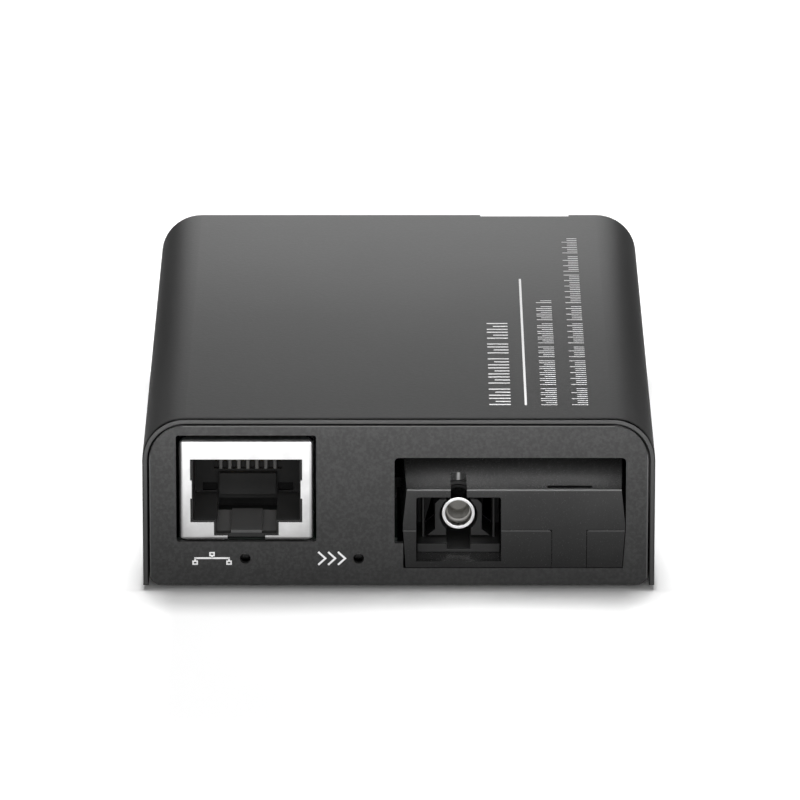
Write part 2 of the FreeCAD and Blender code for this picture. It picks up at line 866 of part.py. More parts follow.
def shell_peg_places():
    """Middle of each locating peg of the fibre module."""
    rear = "optic_back + shell_ear_gap + shell_ear_reach / 2"
    return [
        ("optic_left - optic_flare - shell_ear_reach / 2 - shell_ear_gap", "optic_front + shell_ear_place"),
        ("optic_x - bay_half + shell_ear_length / 2", rear),
        ("optic_x + bay_half - shell_ear_length / 2", rear),
    ]


def make_main_board():
    """The circuit board: a corner is cut away for the fibre module, and all legs have holes."""
    board = new_part("main_board")
    outline = [
        ("-board_half", "board_front"),
        ("notch_left", "board_front"),
        ("notch_left", "notch_back"),
        ("board_half", "notch_back"),
        ("board_half", "board_back"),
        ("-board_half", "board_back"),
    ]
    run(board, "z", "board_under", "board_top", outline)
    holes = [circle(across, deep, "board_hole") for across, deep in standoff_places()]
    holes += [circle(across, deep, "shell_peg + tail_hole_gap") for across, deep in shell_peg_places()]
    for side in SIDES:
        across = f"jack_x + {side} * peg_spread"
        holes.append(circle(across, "jack_front + peg_place", "peg_diameter + tail_hole_gap"))
    for left, right in shield_leg_places():
        deep = about("jack_front + shield_leg_place", "shield_leg_width / 2 + tail_hole_gap")
        holes.append(box(f"{left} - tail_hole_gap", f"{right} + tail_hole_gap", *deep))
    tail = about("power_x", "power_tail_width / 2 + tail_hole_gap")
    for deep in ("power_pin_tail_y", "power_spring_y"):
        holes.append(box(*tail, *about(deep, "power_tail_sheet / 2 + tail_hole_gap")))
    cut_run(board, "z", "board_under", "board_top", *holes)
    for across, deep in contact_rows():
        hole = circle(across, deep, "contact_width + 2 * tail_hole_gap")
        drill = cut_run(board, "z", "board_under", "board_top", hole)
        repeat(board, [drill], "x", "2 * contact_pitch", "contact_count / 2")
    hole = circle("pin_first_x", "pin_drop_y - pin_width / 2", "pin_width + 2 * tail_hole_gap")
    drill = cut_run(board, "z", "board_under", "board_top", hole)
    repeat(board, [drill], "x", "pin_pitch", "pin_count")


def make_board_standoffs():
    """Four turned standoffs, each with a neck pressed into the floor."""
    standoffs = new_part("board_standoffs")
    for across, deep in standoff_places():
        run(standoffs, "z", "under", "floor_top", circle(across, deep, "standoff_neck"))
        run(standoffs, "z", "floor_top", "board_under", circle(across, deep, "standoff_diameter"))
        bore = circle(across, deep, "board_screw_shank + 2 * screw_gap")
        cut_run(standoffs, "z", "under", "board_under", bore)


def make_board_screws():
    """Four pan-head screws that hold the board down."""
    screws = new_part("board_screws")
    for across, deep in standoff_places():
        head = [
            ("0", "0"),
            ("0", "board_screw_head / 2"),
            ("board_screw_rim", "board_screw_head / 2"),
            ("board_screw_rise", "board_screw_crown / 2"),
            ("board_screw_rise", "0"),
        ]
        turn(screws, "z", (across, deep, "board_top"), head)
        shank = circle(across, deep, "board_screw_shank")
        run(screws, "z", "board_top - board_screw_length", "board_top", shank)
        rise = "board_top + board_screw_rise"
        for long_way, short_way in (("recess_length", "recess_width"), ("recess_width", "recess_length")):
            slot = box(*about(across, f"{long_way} / 2"), *about(deep, f"{short_way} / 2"))
            cut_run(screws, "z", f"{rise} - recess_depth", rise, slot)


def make_status_leds():
    """Two side-looking lamps on the underside of the board, each behind its hole."""
    for name, across in (("link_led", "link_led_x"), ("speed_led", "speed_led_x")):
        led = new_part(name)
        body = box(*about(across, "led_width / 2"), "board_under - led_height", "board_under")
        run(led, "y", "board_front + lens_length", "board_front + led_length", body)
        lens = box(
            *about(across, "led_width / 2 - lens_inset"),
            *about("light_z", "led_height / 2 - lens_inset"),
        )
        run(led, "y", "board_front", "board_front + lens_length", lens)


# ---------------------------------------------------------------- network jack

def jack_mouth():
    """Outline of the mouth in the shield's face: plug, latch, and a gap between the lips."""
    bump_low = "board_top + mouth_bump_bottom"
    bump_high = "board_top + mouth_bump_top"
    ledge = "board_top + ledge_level"
    latch = "board_top + latch_level"
    right_half = [
        ("mouth_half_width", "board_top + mouth_top"),
        ("mouth_half_width", bump_high),
        ("mouth_half_width - mouth_bump", bump_high),
        ("mouth_half_width - mouth_bump", bump_low),
        ("mouth_half_width", bump_low),
        ("mouth_half_width", ledge),
        ("latch_half_width", ledge),
        ("latch_half_width", latch),
        ("lip_gap_half", latch),
        ("lip_gap_half", "board_top - past"),
    ]
    right = [(f"jack_x + {half}", up) for half, up in right_half]
    left = [(f"jack_x - ({half})", up) for half, up in reversed(right_half)]
    return right + left


def make_jack_shield():
    """Tinned sheet folded round the jack, open below, with lips and two board legs."""
    shield = new_part("jack_shield")
    run(shield, "y", "jack_front", "jack_back", box("jack_left", "jack_right", "board_top", "jack_top"))
    soften(shield, "shield_bend", x=["jack_left", "jack_right"], z=["jack_top"])
    soften(shield, "shield_bend", x=["jack_left", "jack_right"], y=["jack_front", "jack_back"])
    soften(shield, "shield_bend", y=["jack_front"], z=["jack_top", "board_top"])
    inside = box(
        "jack_left + shield_sheet",
        "jack_right - shield_sheet",
        "jack_front + shield_sheet",
        "jack_back - shield_sheet",
    )
    lip_top = "board_top + shield_sheet"
    cut_run(shield, "z", lip_top, "jack_top - shield_sheet", inside)
    behind_lip = box(
        "jack_left + shield_sheet",
        "jack_right - shield_sheet",
        "jack_front + shield_lip",
        "jack_back - shield_sheet",
    )
    cut_run(shield, "z", "board_top - past", lip_top, behind_lip)
    cut_run(shield, "y", "jack_front - past", "jack_front + shield_sheet", jack_mouth())
    gap = box(*about("jack_x", "lip_gap_half"), "jack_front - past", "jack_front + shield_lip")
    cut_run(shield, "z", "board_top - past", lip_top, gap)
    for side, edge in ((1, "jack_left"), (-1, "jack_right")):
        for turn_up, level, wide, high in (
            (1, "board_top", "shield_foot_cut_width", "shield_foot_cut_height"),
            (-1, "jack_top", "shield_corner_cut", "shield_corner_cut"),
        ):
            corner = [
                (f"{edge} - {side}", f"{level} - {turn_up}"),
                (f"{edge} + {side} * {wide}", f"{level} - {turn_up}"),
                (f"{edge} + {side} * {wide}", level),
                (edge, f"{level} + {turn_up} * {high}"),
                (f"{edge} - {side}", f"{level} + {turn_up} * {high}"),
            ]
            cut_run(shield, "y", "jack_front - past", "jack_front + shield_corner_depth", corner)
    for left, right in shield_leg_places():
        leg = box(*about("jack_front + shield_leg_place", "shield_leg_width / 2"), "tail_end", lip_top)
        run(shield, "x", left, right, leg)


def plug_room():
    """Outline of the plug's room in the housing, with the latch's channel below."""
    half = [
        ("plug_half_width", "plug_roof"),
        ("plug_half_width", "board_top + plug_ledge"),
        ("latch_room_half", "board_top + plug_ledge"),
        ("latch_room_half", "board_top + latch_floor"),
    ]
    right = [(f"jack_x + {across}", up) for across, up in half]
    left = [(f"jack_x - {across}", up) for across, up in reversed(half)]
    return right + left


def make_jack_housing():
    """Moulded body with the plug's room, a comb for the contacts and two board pegs."""
    housing = new_part("jack_housing")
    block = box("housing_left", "housing_right", "board_top + shield_sheet + housing_gap", "housing_top")
    run(housing, "y", "housing_front", "housing_back", block)
    seat = box("housing_left", "housing_right", "board_top", "board_top + plug_ledge")
    run(housing, "y", "jack_front + shield_lip + housing_gap", "housing_back", seat)
    cut_run(housing, "y", "housing_front - past", "plug_end", plug_room())
    pad = box(*about("jack_x", "latch_pad_half"), *about("board_top + latch_floor", "latch_pad_rise"))
    run(housing, "y", "housing_front", "housing_front + latch_pad_length", pad)
    stop = box(*about("jack_x", "plug_stop_half"), "board_top + plug_ledge", "board_top + plug_stop_top")
    run(housing, "y", "plug_end - plug_stop_depth", "plug_end", stop)
    for side in SIDES:
        recess_middle = f"jack_x + {side} * (plug_half_width - stop_hole_half)"
        levels = ["board_top + stop_hole_low", "board_top + stop_hole_high"]
        hole = box(*about(recess_middle, "stop_hole_half / 2"), *levels)
        cut_run(housing, "y", "plug_end", "plug_end + back_wall / 2", hole)
        peg = circle(f"jack_x + {side} * peg_spread", "jack_front + peg_place", "peg_diameter")
        run(housing, "z", "board_top - peg_drop", "board_top", peg)
    slot = box(
        *about("contact_first_x", "contact_slot_half"),
        "jack_front + contact_slot_start",
        "block_front",
    )
    comb = cut_run(housing, "z", "plug_roof", "contact_slot_top", slot)
    wall_slot = box(
        *about("contact_first_x", "contact_slot_half"),
        "plug_end - past",
        "plug_end + comb_depth",
    )
    wall_comb = cut_run(housing, "z", "board_top + comb_low", "plug_roof", wall_slot)
    repeat(housing, [comb, wall_comb], "x", "contact_pitch", "contact_count")
    sides = about("jack_x", "block_half_width + block_gap")
    room = box(*sides, "board_top + block_low", "contact_slot_top")
    cut_run(housing, "y", "block_front", "housing_back", room)
    tails = box(*sides, "block_front", "housing_back")
    cut_run(housing, "z", "board_top - past", "board_top + block_low", tails)


def contact_outline(tail_y):
    """Outline in y and z of one contact: tail, run along the roof, fold, and sloping finger."""
    half = "contact_sheet / 2"
    return [
        (f"{tail_y} - contact_sheet / 2", "tail_end"),
        (f"{tail_y} + {half}", "tail_end"),
        (f"{tail_y} + {half}", f"contact_z + {half}"),
        (f"contact_bend_y - {half}", f"contact_z + {half}"),
        (f"contact_bend_y - contact_sheet", "contact_z"),
        (f"contact_bend_y - {half}", "contact_z - contact_sheet"),
        ("contact_tip_y", f"contact_tip_z - {half}"),
        ("contact_tip_y", f"contact_tip_z + {half}"),
        (f"contact_bend_y + contact_sheet", f"contact_z - {half}"),
        (f"{tail_y} - {half}", f"contact_z - {half}"),
    ]


def make_jack_contacts():
    """Eight spring contacts, their tails in two rows."""
    contacts = new_part("jack_contacts")
    for across, tail_y in contact_rows():
        start, end = about(across, "contact_width / 2")
        contact = run(contacts, "x", start, end, contact_outline(tail_y))
        repeat(contacts, [contact], "x", "2 * contact_pitch", "contact_count / 2")


def make_jack_contact_block():
    """Moulded insert at the jack's back that holds the contacts' tails."""
    block = new_part("jack_contact_block")
    roof = "contact_z - contact_sheet / 2 - block_gap"
    body = box(*about("jack_x", "block_half_width"), "board_top", roof)
    run(block, "y", "block_front + block_gap", "housing_back", body)
    for across, tail_y in contact_rows():
        slot = box(
            *about(across, "contact_width / 2 + block_gap"),
            f"{tail_y} - contact_sheet / 2 - block_gap",
            f"{tail_y} + contact_sheet / 2 + block_gap",
        )
        groove = cut_run(block, "z", "board_top - past", "contact_z", slot)
        repeat(block, [groove], "x", "2 * contact_pitch", "contact_count / 2")


# ---------------------------------------------------------------- fibre module shells

def upper_outline(flare):
    """Outline of the upper shell, wider by flare on each side."""
    belt = "optic_part + shell_belt"
    return [
        (f"optic_x - optic_half - {flare}", "optic_part"),
        (f"optic_x + optic_half + {flare}", "optic_part"),
        (f"optic_x + optic_half + {flare}", belt),
        (f"optic_x + optic_top_half + {flare}", "optic_high"),
        (f"optic_x - optic_top_half - {flare}", "optic_high"),
        (f"optic_x - optic_half - {flare}", belt),
    ]


def lower_outline(flare):
    """Outline of the lower shell, wider by flare on each side."""
    rim = "optic_part - parting_gap"
    return [
        (f"optic_x - optic_low_half - {flare}", "optic_low"),
        (f"optic_x + optic_low_half + {flare}", "optic_low"),
        (f"optic_x + optic_half + {flare}", rim),
        (f"optic_x - optic_half - {flare}", rim),
    ]


def shell_body(shell, outline):
    """A shell's outside: a flared front part and a straight rear part."""
    taper(shell, "optic_front", "optic_flare_end", outline("0"), outline("optic_flare"))
    run(shell, "y", "optic_flare_end", "optic_back", outline("optic_flare"))


def hollow_shell(shell, low, high):
    """Cut the port's tunnel, the bay beside it and the bay behind both."""
    cut_run(shell, "y", "optic_front - past", "port_back", box("port_left_x", "port_right", low, high))
    beside = box("bay_left", "bay_right", low, high)
    cut_run(shell, "y", "optic_front + shell_wall", "optic_bay_back", beside)
    behind = box("port_left_x", "bay_left + past", low, high)
    cut_run(shell, "y", "port_back - past", "optic_bay_back", behind)


def shell_ears(shell):
    """Ears that rest on the board round the notch, each with a peg."""
    seat = "optic_part"
    side_peg, *rear_pegs = shell_peg_places()
    left = "notch_left - shell_ear_reach"
    deep = about(side_peg[1], "shell_ear_length / 2")
    arm = box(left, "optic_left", seat, f"{seat} + shell_ear_rise")
    run(shell, "y", *deep, arm)
    foot = box(left, "notch_left", "board_top", seat)
    run(shell, "y", *deep, foot)
    for across, _ in rear_pegs:
        ear = box(*about(across, "shell_ear_length / 2"), seat, f"{seat} + shell_ear_rise")
        run(shell, "y", "optic_bay_back + shell_wall / 2", "notch_back + shell_ear_reach", ear)
        foot = box(*about(across, "shell_ear_length / 2"), "board_top", seat)
        run(shell, "y", "notch_back", "notch_back + shell_ear_reach", foot)
    for across, deep in shell_peg_places():
        run(shell, "z", "board_top - shell_peg_drop", "board_top", circle(across, deep, "shell_peg"))


def make_optic_upper_shell():
    """Upper half: key slot, slit, a tongue down the front and ears on the board."""
    shell = new_part("optic_upper_shell")
    shell_body(shell, upper_outline)
    soften(shell, "shell_edge", y=["optic_front"], z=["optic_high"])
    key = box(*about("port_x", "key_width / 2"), "optic_front - past", "optic_front + key_length")
    cut_run(shell, "z", "port_z", "optic_high + past", key)
    sides = list(about("port_x", "key_width / 2"))
    soften(shell, "key_corner", x=sides, y=["optic_front + key_length"])
    hollow_shell(shell, "optic_part - past", "port_high")
    soften(shell, "port_corner", x=["port_left_x", "port_right"], z=["port_high"])
    slit = box(
        "optic_x + slit_left",
        "optic_x + slit_right",
        "optic_front + slit_place",
        "optic_front + slit_place + slit_width",
    )
    cut_run(shell, "z", "optic_high - slit_depth", "optic_high + past", slit)
    tongue = box("optic_x + tongue_left", "optic_x + tongue_right", "optic_low", "optic_part")
    run(shell, "y", "optic_front", "optic_front + shell_wall", tongue)
    pins = box(
        "pin_first_x - pin_width",
        "pin_first_x + pin_pitch * (pin_count - 1) + pin_width",
        "optic_part - past",
        "pin_top + pin_slot_gap",
    )
    cut_run(shell, "y", "optic_bay_back - past", "optic_back + past", pins)
    shell_ears(shell)


def make_optic_lower_shell():
    """Lower half: its front wall is open at the tongue, and ribs carry the small board."""
    shell = new_part("optic_lower_shell")
    shell_body(shell, lower_outline)
    hollow_shell(shell, "port_low", "optic_part + past")
    left = "optic_x + tongue_left - parting_gap"
    right = "optic_x + tongue_right + parting_gap"
    gap = box(left, right, "optic_low - past", "optic_part + past")
    cut_run(shell, "y", "optic_front - past", "optic_front + shell_wall + parting_gap", gap)
    soften(shell, "tongue_corner", x=[left, right], z=["optic_part - parting_gap"])
    ramp = [
        ("optic_front - past", "port_low - lead_in_drop"),
        ("optic_front", "port_low - lead_in_drop"),
        ("optic_front + lead_in_length", "port_low"),
        ("optic_front + lead_in_length", "port_low + past"),
        ("optic_front - past", "port_low + past"),
    ]
    cut_run(shell, "x", "port_left_x", "port_right", ramp)
    for deep in ("optic_front + optic_board_front + rib_width", "optic_board_strip"):
        rib = box("optic_board_left", "bay_right", "port_low", "optic_board_under")
        run(shell, "y", deep, f"{deep} + rib_width", rib)
    rear_rib = box("port_left_x", "optic_board_left", "port_low", "optic_board_under")
    run(shell, "y", "optic_board_back - rib_width", "optic_board_back", rear_rib)


def make_optic_latch_carrier():
    """Moulded insert in the port: floor, rear plate, two latch arms and two guards."""
    carrier = new_part("optic_latch_carrier")
    plate_start = "optic_front + carrier_plate_start"
    plate_end = "optic_front + carrier_plate_start + carrier_plate_sheet"
    arm_start = "optic_front + carrier_arm_start"
    half = "port_width / 2 - carrier_gap"
    floor = box(*about("port_x", half), "port_low", "port_low + carrier_floor")
    run(carrier, "y", "optic_front + carrier_floor_start", plate_end, floor)
    groove_low = "port_low + carrier_floor - carrier_groove_depth"
    groove = box(*about("port_x", "carrier_groove_half"), groove_low, "port_low + carrier_floor + past")
    cut_run(carrier, "y", "optic_front + carrier_floor_start - past", plate_start, groove)
    plate = box(*about("port_x", half), "port_low", "port_low + carrier_height")
    run(carrier, "y", plate_start, plate_end, plate)
    run(carrier, "y", plate_start, plate_end, circle("port_x", "port_z", "collar_diameter"))
    for side in SIDES:
        arm = [
            ("arm_inner", "port_low + arm_low"),
            ("arm_foot_reach", "port_low + arm_low"),
            ("arm_outer", "port_low + arm_low + arm_foot_rise"),
            ("arm_outer", "port_low + arm_high - arm_top_cut"),
            ("arm_outer - arm_top_cut", "port_low + arm_high"),
            ("arm_inner", "port_low + arm_high"),
        ]
        run(carrier, "y", arm_start, plate_start, [(f"port_x + {side} * ({far})", up) for far, up in arm])
        ends = [f"port_x + {side} * guard_inner", f"port_x + {side} * guard_outer"]
        guard = box(*ends[::side], "port_low + carrier_floor", "port_low + carrier_height")
        run(carrier, "y", arm_start, plate_start, guard)
    room = circle("port_x", "port_z", "barrel_diameter + 2 * arm_barrel_gap")
    cut_run(carrier, "y", f"{arm_start} - past", plate_start, room)
    bore = circle("port_x", "port_z", "barrel_diameter + 2 * sleeve_gap")
    cut_run(carrier, "y", plate_start, plate_end, bore)


# ---------------------------------------------------------------- optical sub-assembly

def on_axis(body, profile, cut=False):
    """Turn a profile about the port's axis, its distances taken from the module's face."""
    return turn(body, "y", ("port_x", "optic_front", "port_z"), profile, cut)


def make_optic_barrel():
    """Steel barrel that guides the plug's ferrule: a lip, then a wider bore for the sleeve."""
    barrel = new_part("optic_barrel")
    bore = "sleeve_diameter / 2 + sleeve_gap"
    on_axis(barrel, [
        ("barrel_start", "barrel_mouth / 2"),
        ("barrel_start", "barrel_diameter / 2"),
        ("barrel_end", "barrel_diameter / 2"),
        ("barrel_end", bore),
        ("sleeve_start", bore),
        ("sleeve_start", "barrel_bore / 2"),
        ("barrel_start + barrel_chamfer", "barrel_bore / 2"),
    ])


def make_split_sleeve():
    """Ceramic sleeve with a slit along it, which lines the two ferrules up."""
    sleeve = new_part("split_sleeve")
    on_axis(sleeve, [
        ("sleeve_start", "sleeve_bore / 2"),
        ("sleeve_start", "sleeve_diameter / 2"),
        ("sleeve_end", "sleeve_diameter / 2"),
        ("sleeve_end", "sleeve_bore / 2"),
    ])
    slit = box(*about("port_x", "sleeve_slit / 2"), "port_z", "port_z + sleeve_diameter")
    cut_run(sleeve, "y", "optic_front + sleeve_start", "optic_front + sleeve_end", slit)


def make_fibre_stub():
    """Ceramic ferrule that the plug's ferrule meets face to face."""
    stub = new_part("fibre_stub")
    on_axis(stub, [
        ("stub_start", "0"),
        ("stub_start", "sleeve_bore / 2 - barrel_chamfer"),
        ("stub_start + barrel_chamfer", "sleeve_bore / 2"),
        ("holder_end", "sleeve_bore / 2"),
        ("holder_end", "0"),
    ])


def make_stub_holder():
    """Steel ring pressed into the barrel's back, with a flange against the prism block."""
    holder = new_part("stub_holder")
    on_axis(holder, [
        ("sleeve_end + sleeve_gap", "sleeve_bore / 2"),
        ("sleeve_end + sleeve_gap", "sleeve_diameter / 2"),
        ("barrel_end", "sleeve_diameter / 2"),
        ("barrel_end", "holder_flange / 2"),
        ("holder_end", "holder_flange / 2"),
        ("holder_end", "sleeve_bore / 2"),
    ])


def make_prism_block():
    """Steel block with crossing light paths from the fibre to the laser and the receiver."""
    block = new_part("prism_block")
    half = "prism_block / 2"
    body = box(*about("port_x", half), *about("port_z", half))
    run(block, "y", "optic_front + holder_end", "optic_front + prism_end", body)
    room = box(*about("port_x", "prism_room / 2"), *about("port_z", "prism_room / 2"))
    cut_run(block, "y", "prism_middle - prism_room / 2", "prism_middle + prism_room / 2", room)
    along = circle("port_x", "port_z", "light_path")
    cut_run(block, "y", "optic_front + holder_end", "optic_front + prism_end", along)
    cut_run(block, "x", "port_x", "prism_right", circle("prism_middle", "port_z", "light_path"))


def make_wavelength_filter():
    """Glass plate set corner to corner in the block's room."""
    plate = new_part("wavelength_filter")
    half = "prism_room / 2"
    step = "filter_sheet"
    low_x, high_x = about("port_x", half)
    low_y, high_y = about("prism_middle", half)
    outline = [
        (low_x, low_y),
        (f"{low_x} + {step}", low_y),
        (high_x, f"{high_y} - {step}"),
        (high_x, high_y),
        (f"{high_x} - {step}", high_y),
        (low_x, f"{low_y} + {step}"),
    ]
    run(plate, "z", *about("port_z", half), outline)


def lead_offsets():
    """Offsets of a can's three leads from its axis: two level ones and one above."""
    return [("-can_lead_spread", "0"), ("can_lead_spread", "0"), ("0", "can_lead_spread")]


def make_laser_can():
    """Sealed laser can behind the block, with its leads."""
    can = new_part("laser_can")
    on_axis(can, [
        ("prism_end", "0"),
        ("prism_end", "can_cap / 2"),
        ("prism_end + can_cap_length", "can_cap / 2"),
        ("prism_end + can_cap_length", "can_flange / 2"),
        ("laser_end", "can_flange / 2"),
        ("laser_end", "0"),
    ])
    leads = [circle(f"port_x + {across}", f"port_z + {up}", "can_lead") for across, up in lead_offsets()]
    start = "optic_front + laser_end - can_flange_sheet / 2"
    run(can, "y", start, "optic_front + laser_end + can_lead_length", *leads)


def make_receiver_can():
    """Sealed receiver can at the block's right side, with its leads."""
    can = new_part("receiver_can")
    reach = "can_length"
    turn(can, "x", ("prism_right", "prism_middle", "port_z"), [
        ("0", "0"),
        ("0", "can_cap / 2"),
        ("can_cap_length", "can_cap / 2"),
        ("can_cap_length", "can_flange / 2"),
        (reach, "can_flange / 2"),
        (reach, "0"),
    ])
    leads = [circle(f"prism_middle + {deep}", f"port_z + {up}", "can_lead") for deep, up in lead_offsets()]
    run(can, "x", "receiver_end - can_flange_sheet / 2", "receiver_end + can_lead_length", *leads)


def make_optic_board():
    """Small circuit board in the module, with a strip behind the laser for its leads."""
    board = new_part("optic_board")
    outline = [
        ("optic_board_left", "optic_front + optic_board_front"),
        ("optic_board_right", "optic_front + optic_board_front"),
        ("optic_board_right", "optic_board_back"),
        ("port_left_x + optic_board_gap", "optic_board_back"),
        ("port_left_x + optic_board_gap", "optic_board_strip"),
        ("optic_board_left", "optic_board_strip"),
    ]
    run(board, "z", "optic_board_under", "optic_board_top", outline)


def make_laser_driver_chip():
    """Flat chip on the module's board."""
    chip = new_part("laser_driver_chip")
    middle = "(optic_board_left + optic_board_right) / 2"
    near = "optic_front + driver_chip_place"
    body = box(*about(middle, "driver_chip_size / 2"), near, f"{near} + driver_chip_size")
    run(chip, "z", "optic_board_top", "optic_board_top + driver_chip_rise", body)


def make_optic_pins():
    """Nine square pins from the module's board, bent down into the main board."""
    pins = new_part("optic_pins")
    outline = [
        ("optic_front + pin_start", "optic_board_top"),
        ("pin_drop_y - pin_width", "optic_board_top"),
        ("pin_drop_y - pin_width", "tail_end"),
        ("pin_drop_y", "tail_end"),
        ("pin_drop_y", "pin_top"),
        ("optic_front + pin_start", "pin_top"),
    ]
    pin = run(pins, "x", *about("pin_first_x", "pin_width / 2"), outline)
    repeat(pins, [pin], "x", "pin_pitch", "pin_count")


# ---------------------------------------------------------------- power jack

def make_power_jack_housing():
    """Moulded barrel jack: square face, rounded body, and a slot for the spring below."""
    housing = new_part("power_jack_housing")
    face = box(*about("power_x", "power_half"), "board_top", "power_top")
    run(housing, "y", "power_back - power_face_length", "power_back", face)
    soften(housing, "power_corner", x=list(about("power_x", "power_half")), z=["power_top"])
    neck = box(*about("power_x", "power_body_half"), "board_top", "power_z")
    run(housing, "y", "power_front", "power_back - power_face_length", neck)
    barrel = circle("power_x", "power_z", "2 * power_body_half")
    run(housing, "y", "power_front", "power_back - power_face_length", barrel)
    cut_run(housing, "y", "power_bore_end", "power_back + past", circle("power_x", "power_z", "power_bore"))
    half = "power_tail_width / 2 + power_tail_gap"
    slot = box(*about("power_x", half), "board_top", "power_z")
    near = "power_spring_y - power_tail_sheet / 2 - power_tail_gap"
    cut_run(housing, "y", near, "power_back - power_face_length / 2", slot)
    rear_slot = box(*about("power_x", half), "board_top", "power_z")
    deep = about("power_pin_tail_y", "power_tail_sheet / 2 + power_tail_gap")
    cut_run(housing, "y", *deep, rear_slot)
    hole = circle("power_x", "power_z", "power_pin + 2 * power_tail_gap")
    cut_run(housing, "y", deep[0], "power_bore_end + past", hole)


def make_power_jack_pin():
    """Centre pin with a rounded tip, and its tail into the board."""
    pin = new_part("power_jack_pin")
    tip = "power_back - power_pin_setback"
    start, end = about("power_pin_tail_y", "power_tail_sheet / 2")
    tail = box(*about("power_x", "power_tail_width / 2"), "tail_end", "power_z")
    run(pin, "y", start, end, tail)
    run(pin, "y", start, tip, circle("power_x", "power_z", "power_pin"))
    soften(pin, "power_pin_round", y=[tip])


def make_power_jack_spring():
    """Spring contact below the bore, with its tail into the board."""
    spring = new_part("power_jack_spring")
    tail_front, tail_back = about("power_spring_y", "power_tail_sheet / 2")
    bed = "power_z - power_bore / 2"
    reach = "power_back - power_face_length / 2 - power_tail_gap"
    crest = f"(power_spring_y + {reach}) / 2"
    outline = [
        (tail_front, "tail_end"),
        (tail_back, "tail_end"),
        (tail_back, f"{bed} - power_tail_sheet"),
        (crest, f"{bed} + power_spring_lift - power_tail_sheet"),
        (reach, f"{bed} - power_tail_sheet"),
        (reach, bed),
        (crest, f"{bed} + power_spring_lift"),
        (tail_front, bed),
    ]
    run(spring, "x", *about("power_x", "power_tail_width / 2"), outline)


# ---------------------------------------------------------------- parts on the board

def legged_chip(name, middle_x, near, length, width, rise, leg, reach, pitch, count):
    """A moulded chip, its length along x, with a row of bent legs in front and behind."""
    chip = new_part(name)
    gap = "leg_sheet"
    body = box(*about(middle_x, f"{length} / 2"), near, f"{near} + {width}")
    run(chip, "z", f"board_top + {gap}", f"board_top + {rise}", body)
    first = f"{middle_x} - {pitch} * ({count} - 1) / 2"
    middle = f"board_top + {rise} / 2"
    for side, edge in ((-1, near), (1, f"{near} + {width}")):
        outline = [
            (edge, f"{middle} + leg_sheet / 2"),
            (edge, f"{middle} - leg_sheet / 2"),
            (f"{edge} + {side} * ({reach} / 2 - leg_sheet)", f"{middle} - leg_sheet / 2"),
            (f"{edge} + {side} * ({reach} / 2 - leg_sheet)", "board_top"),
            (f"{edge} + {side} * {reach}", "board_top"),
            (f"{edge} + {side} * {reach}", "board_top + leg_sheet"),
            (f"{edge} + {side} * {reach} / 2", "board_top + leg_sheet"),
            (f"{edge} + {side} * {reach} / 2", f"{middle} + leg_sheet / 2"),
        ]
        row = run(chip, "x", *about(first, f"{leg} / 2"), outline)
        repeat(chip, [row], "x", pitch, count)
    return chip


def make_lan_magnetics():
    """Moulded transformer pack behind the network jack."""
    legged_chip(
        "lan_magnetics", "magnetics_x", "magnetics_front", "magnetics_width", "magnetics_length",
        "magnetics_rise", "magnetics_leg", "magnetics_leg_reach", "magnetics_leg_pitch",
        "magnetics_leg_count",
    )


def make_memory_chip():
    """Small eight-legged chip beside the main one."""
    legged_chip(
        "memory_chip", "memory_x", "converter_front", "memory_length",
        "memory_width", "memory_rise", "memory_leg", "memory_leg_reach", "memory_leg_pitch",
        "memory_leg_count",
    )


def make_converter_chip():
    """Flat leadless chip that turns copper signals into light signals."""
    chip = new_part("converter_chip")
    body = box(
        *about("magnetics_x", "converter_chip_size / 2"),
        "converter_front",
        "converter_back",
    )
    run(chip, "z", "board_top", "board_top + converter_chip_rise", body)


def make_crystal_can():
    """Metal can with round ends."""
    can = new_part("crystal_can")
    deep = ["crystal_front", "crystal_front + crystal_width"]
    body = box(*about("magnetics_x", "crystal_length / 2"), *deep)
    run(can, "z", "board_top", "board_top + crystal_rise", body)
    sides = list(about("magnetics_x", "crystal_length / 2"))
    soften(can, "crystal_round", x=sides, y=deep)


def make_voltage_regulator():
    """Moulded regulator with three legs in front and three behind."""
    legged_chip(
        "voltage_regulator", "regulator_x", "regulator_front", "regulator_length",
        "regulator_width", "regulator_rise", "regulator_leg", "magnetics_leg_reach",
        "regulator_leg_pitch", "regulator_leg_count",
    )


def make_power_inductor():
    """Ferrite drum between two flanges."""
    inductor = new_part("power_inductor")
    across = "power_x"
    deep = "inductor_y"
    top = "board_top + inductor_rise"
    half = "inductor_size / 2"
    flange = box(*about(across, half), *about(deep, half))
    run(inductor, "z", "board_top", "board_top + inductor_flange", flange)
    run(inductor, "z", "board_top", top, circle(across, deep, "inductor_drum"))
    run(inductor, "z", f"{top} - inductor_flange", top, circle(across, deep, "inductor_size"))


def make_bulk_capacitors():
    """Two electrolytic cans on square bases."""
    capacitors = new_part("bulk_capacitors")
    for number in range(2):
        across = f"capacitor_first_x - {number} * capacitor_pitch"
        deep = "capacitor_y"
        base = box(*about(across, "capacitor_base / 2"), *about(deep, "capacitor_base / 2"))
        run(capacitors, "z", "board_top", "board_top + capacitor_base_rise", base)
        can = circle(across, deep, "capacitor_diameter")
        run(capacitors, "z", "board_top", "board_top + capacitor_rise", can)


def small_parts(name, first_x, near):
    """A row of small square-ended parts, each a solid of its own."""
    row = new_part(name)
    body = box(*about(first_x, "small_part_width / 2"), near, f"{near} + small_part_length")
    one = run(row, "z", "board_top", "board_top + small_part_rise", body)
    repeat(row, [one], "x", "small_part_pitch", "small_part_count")


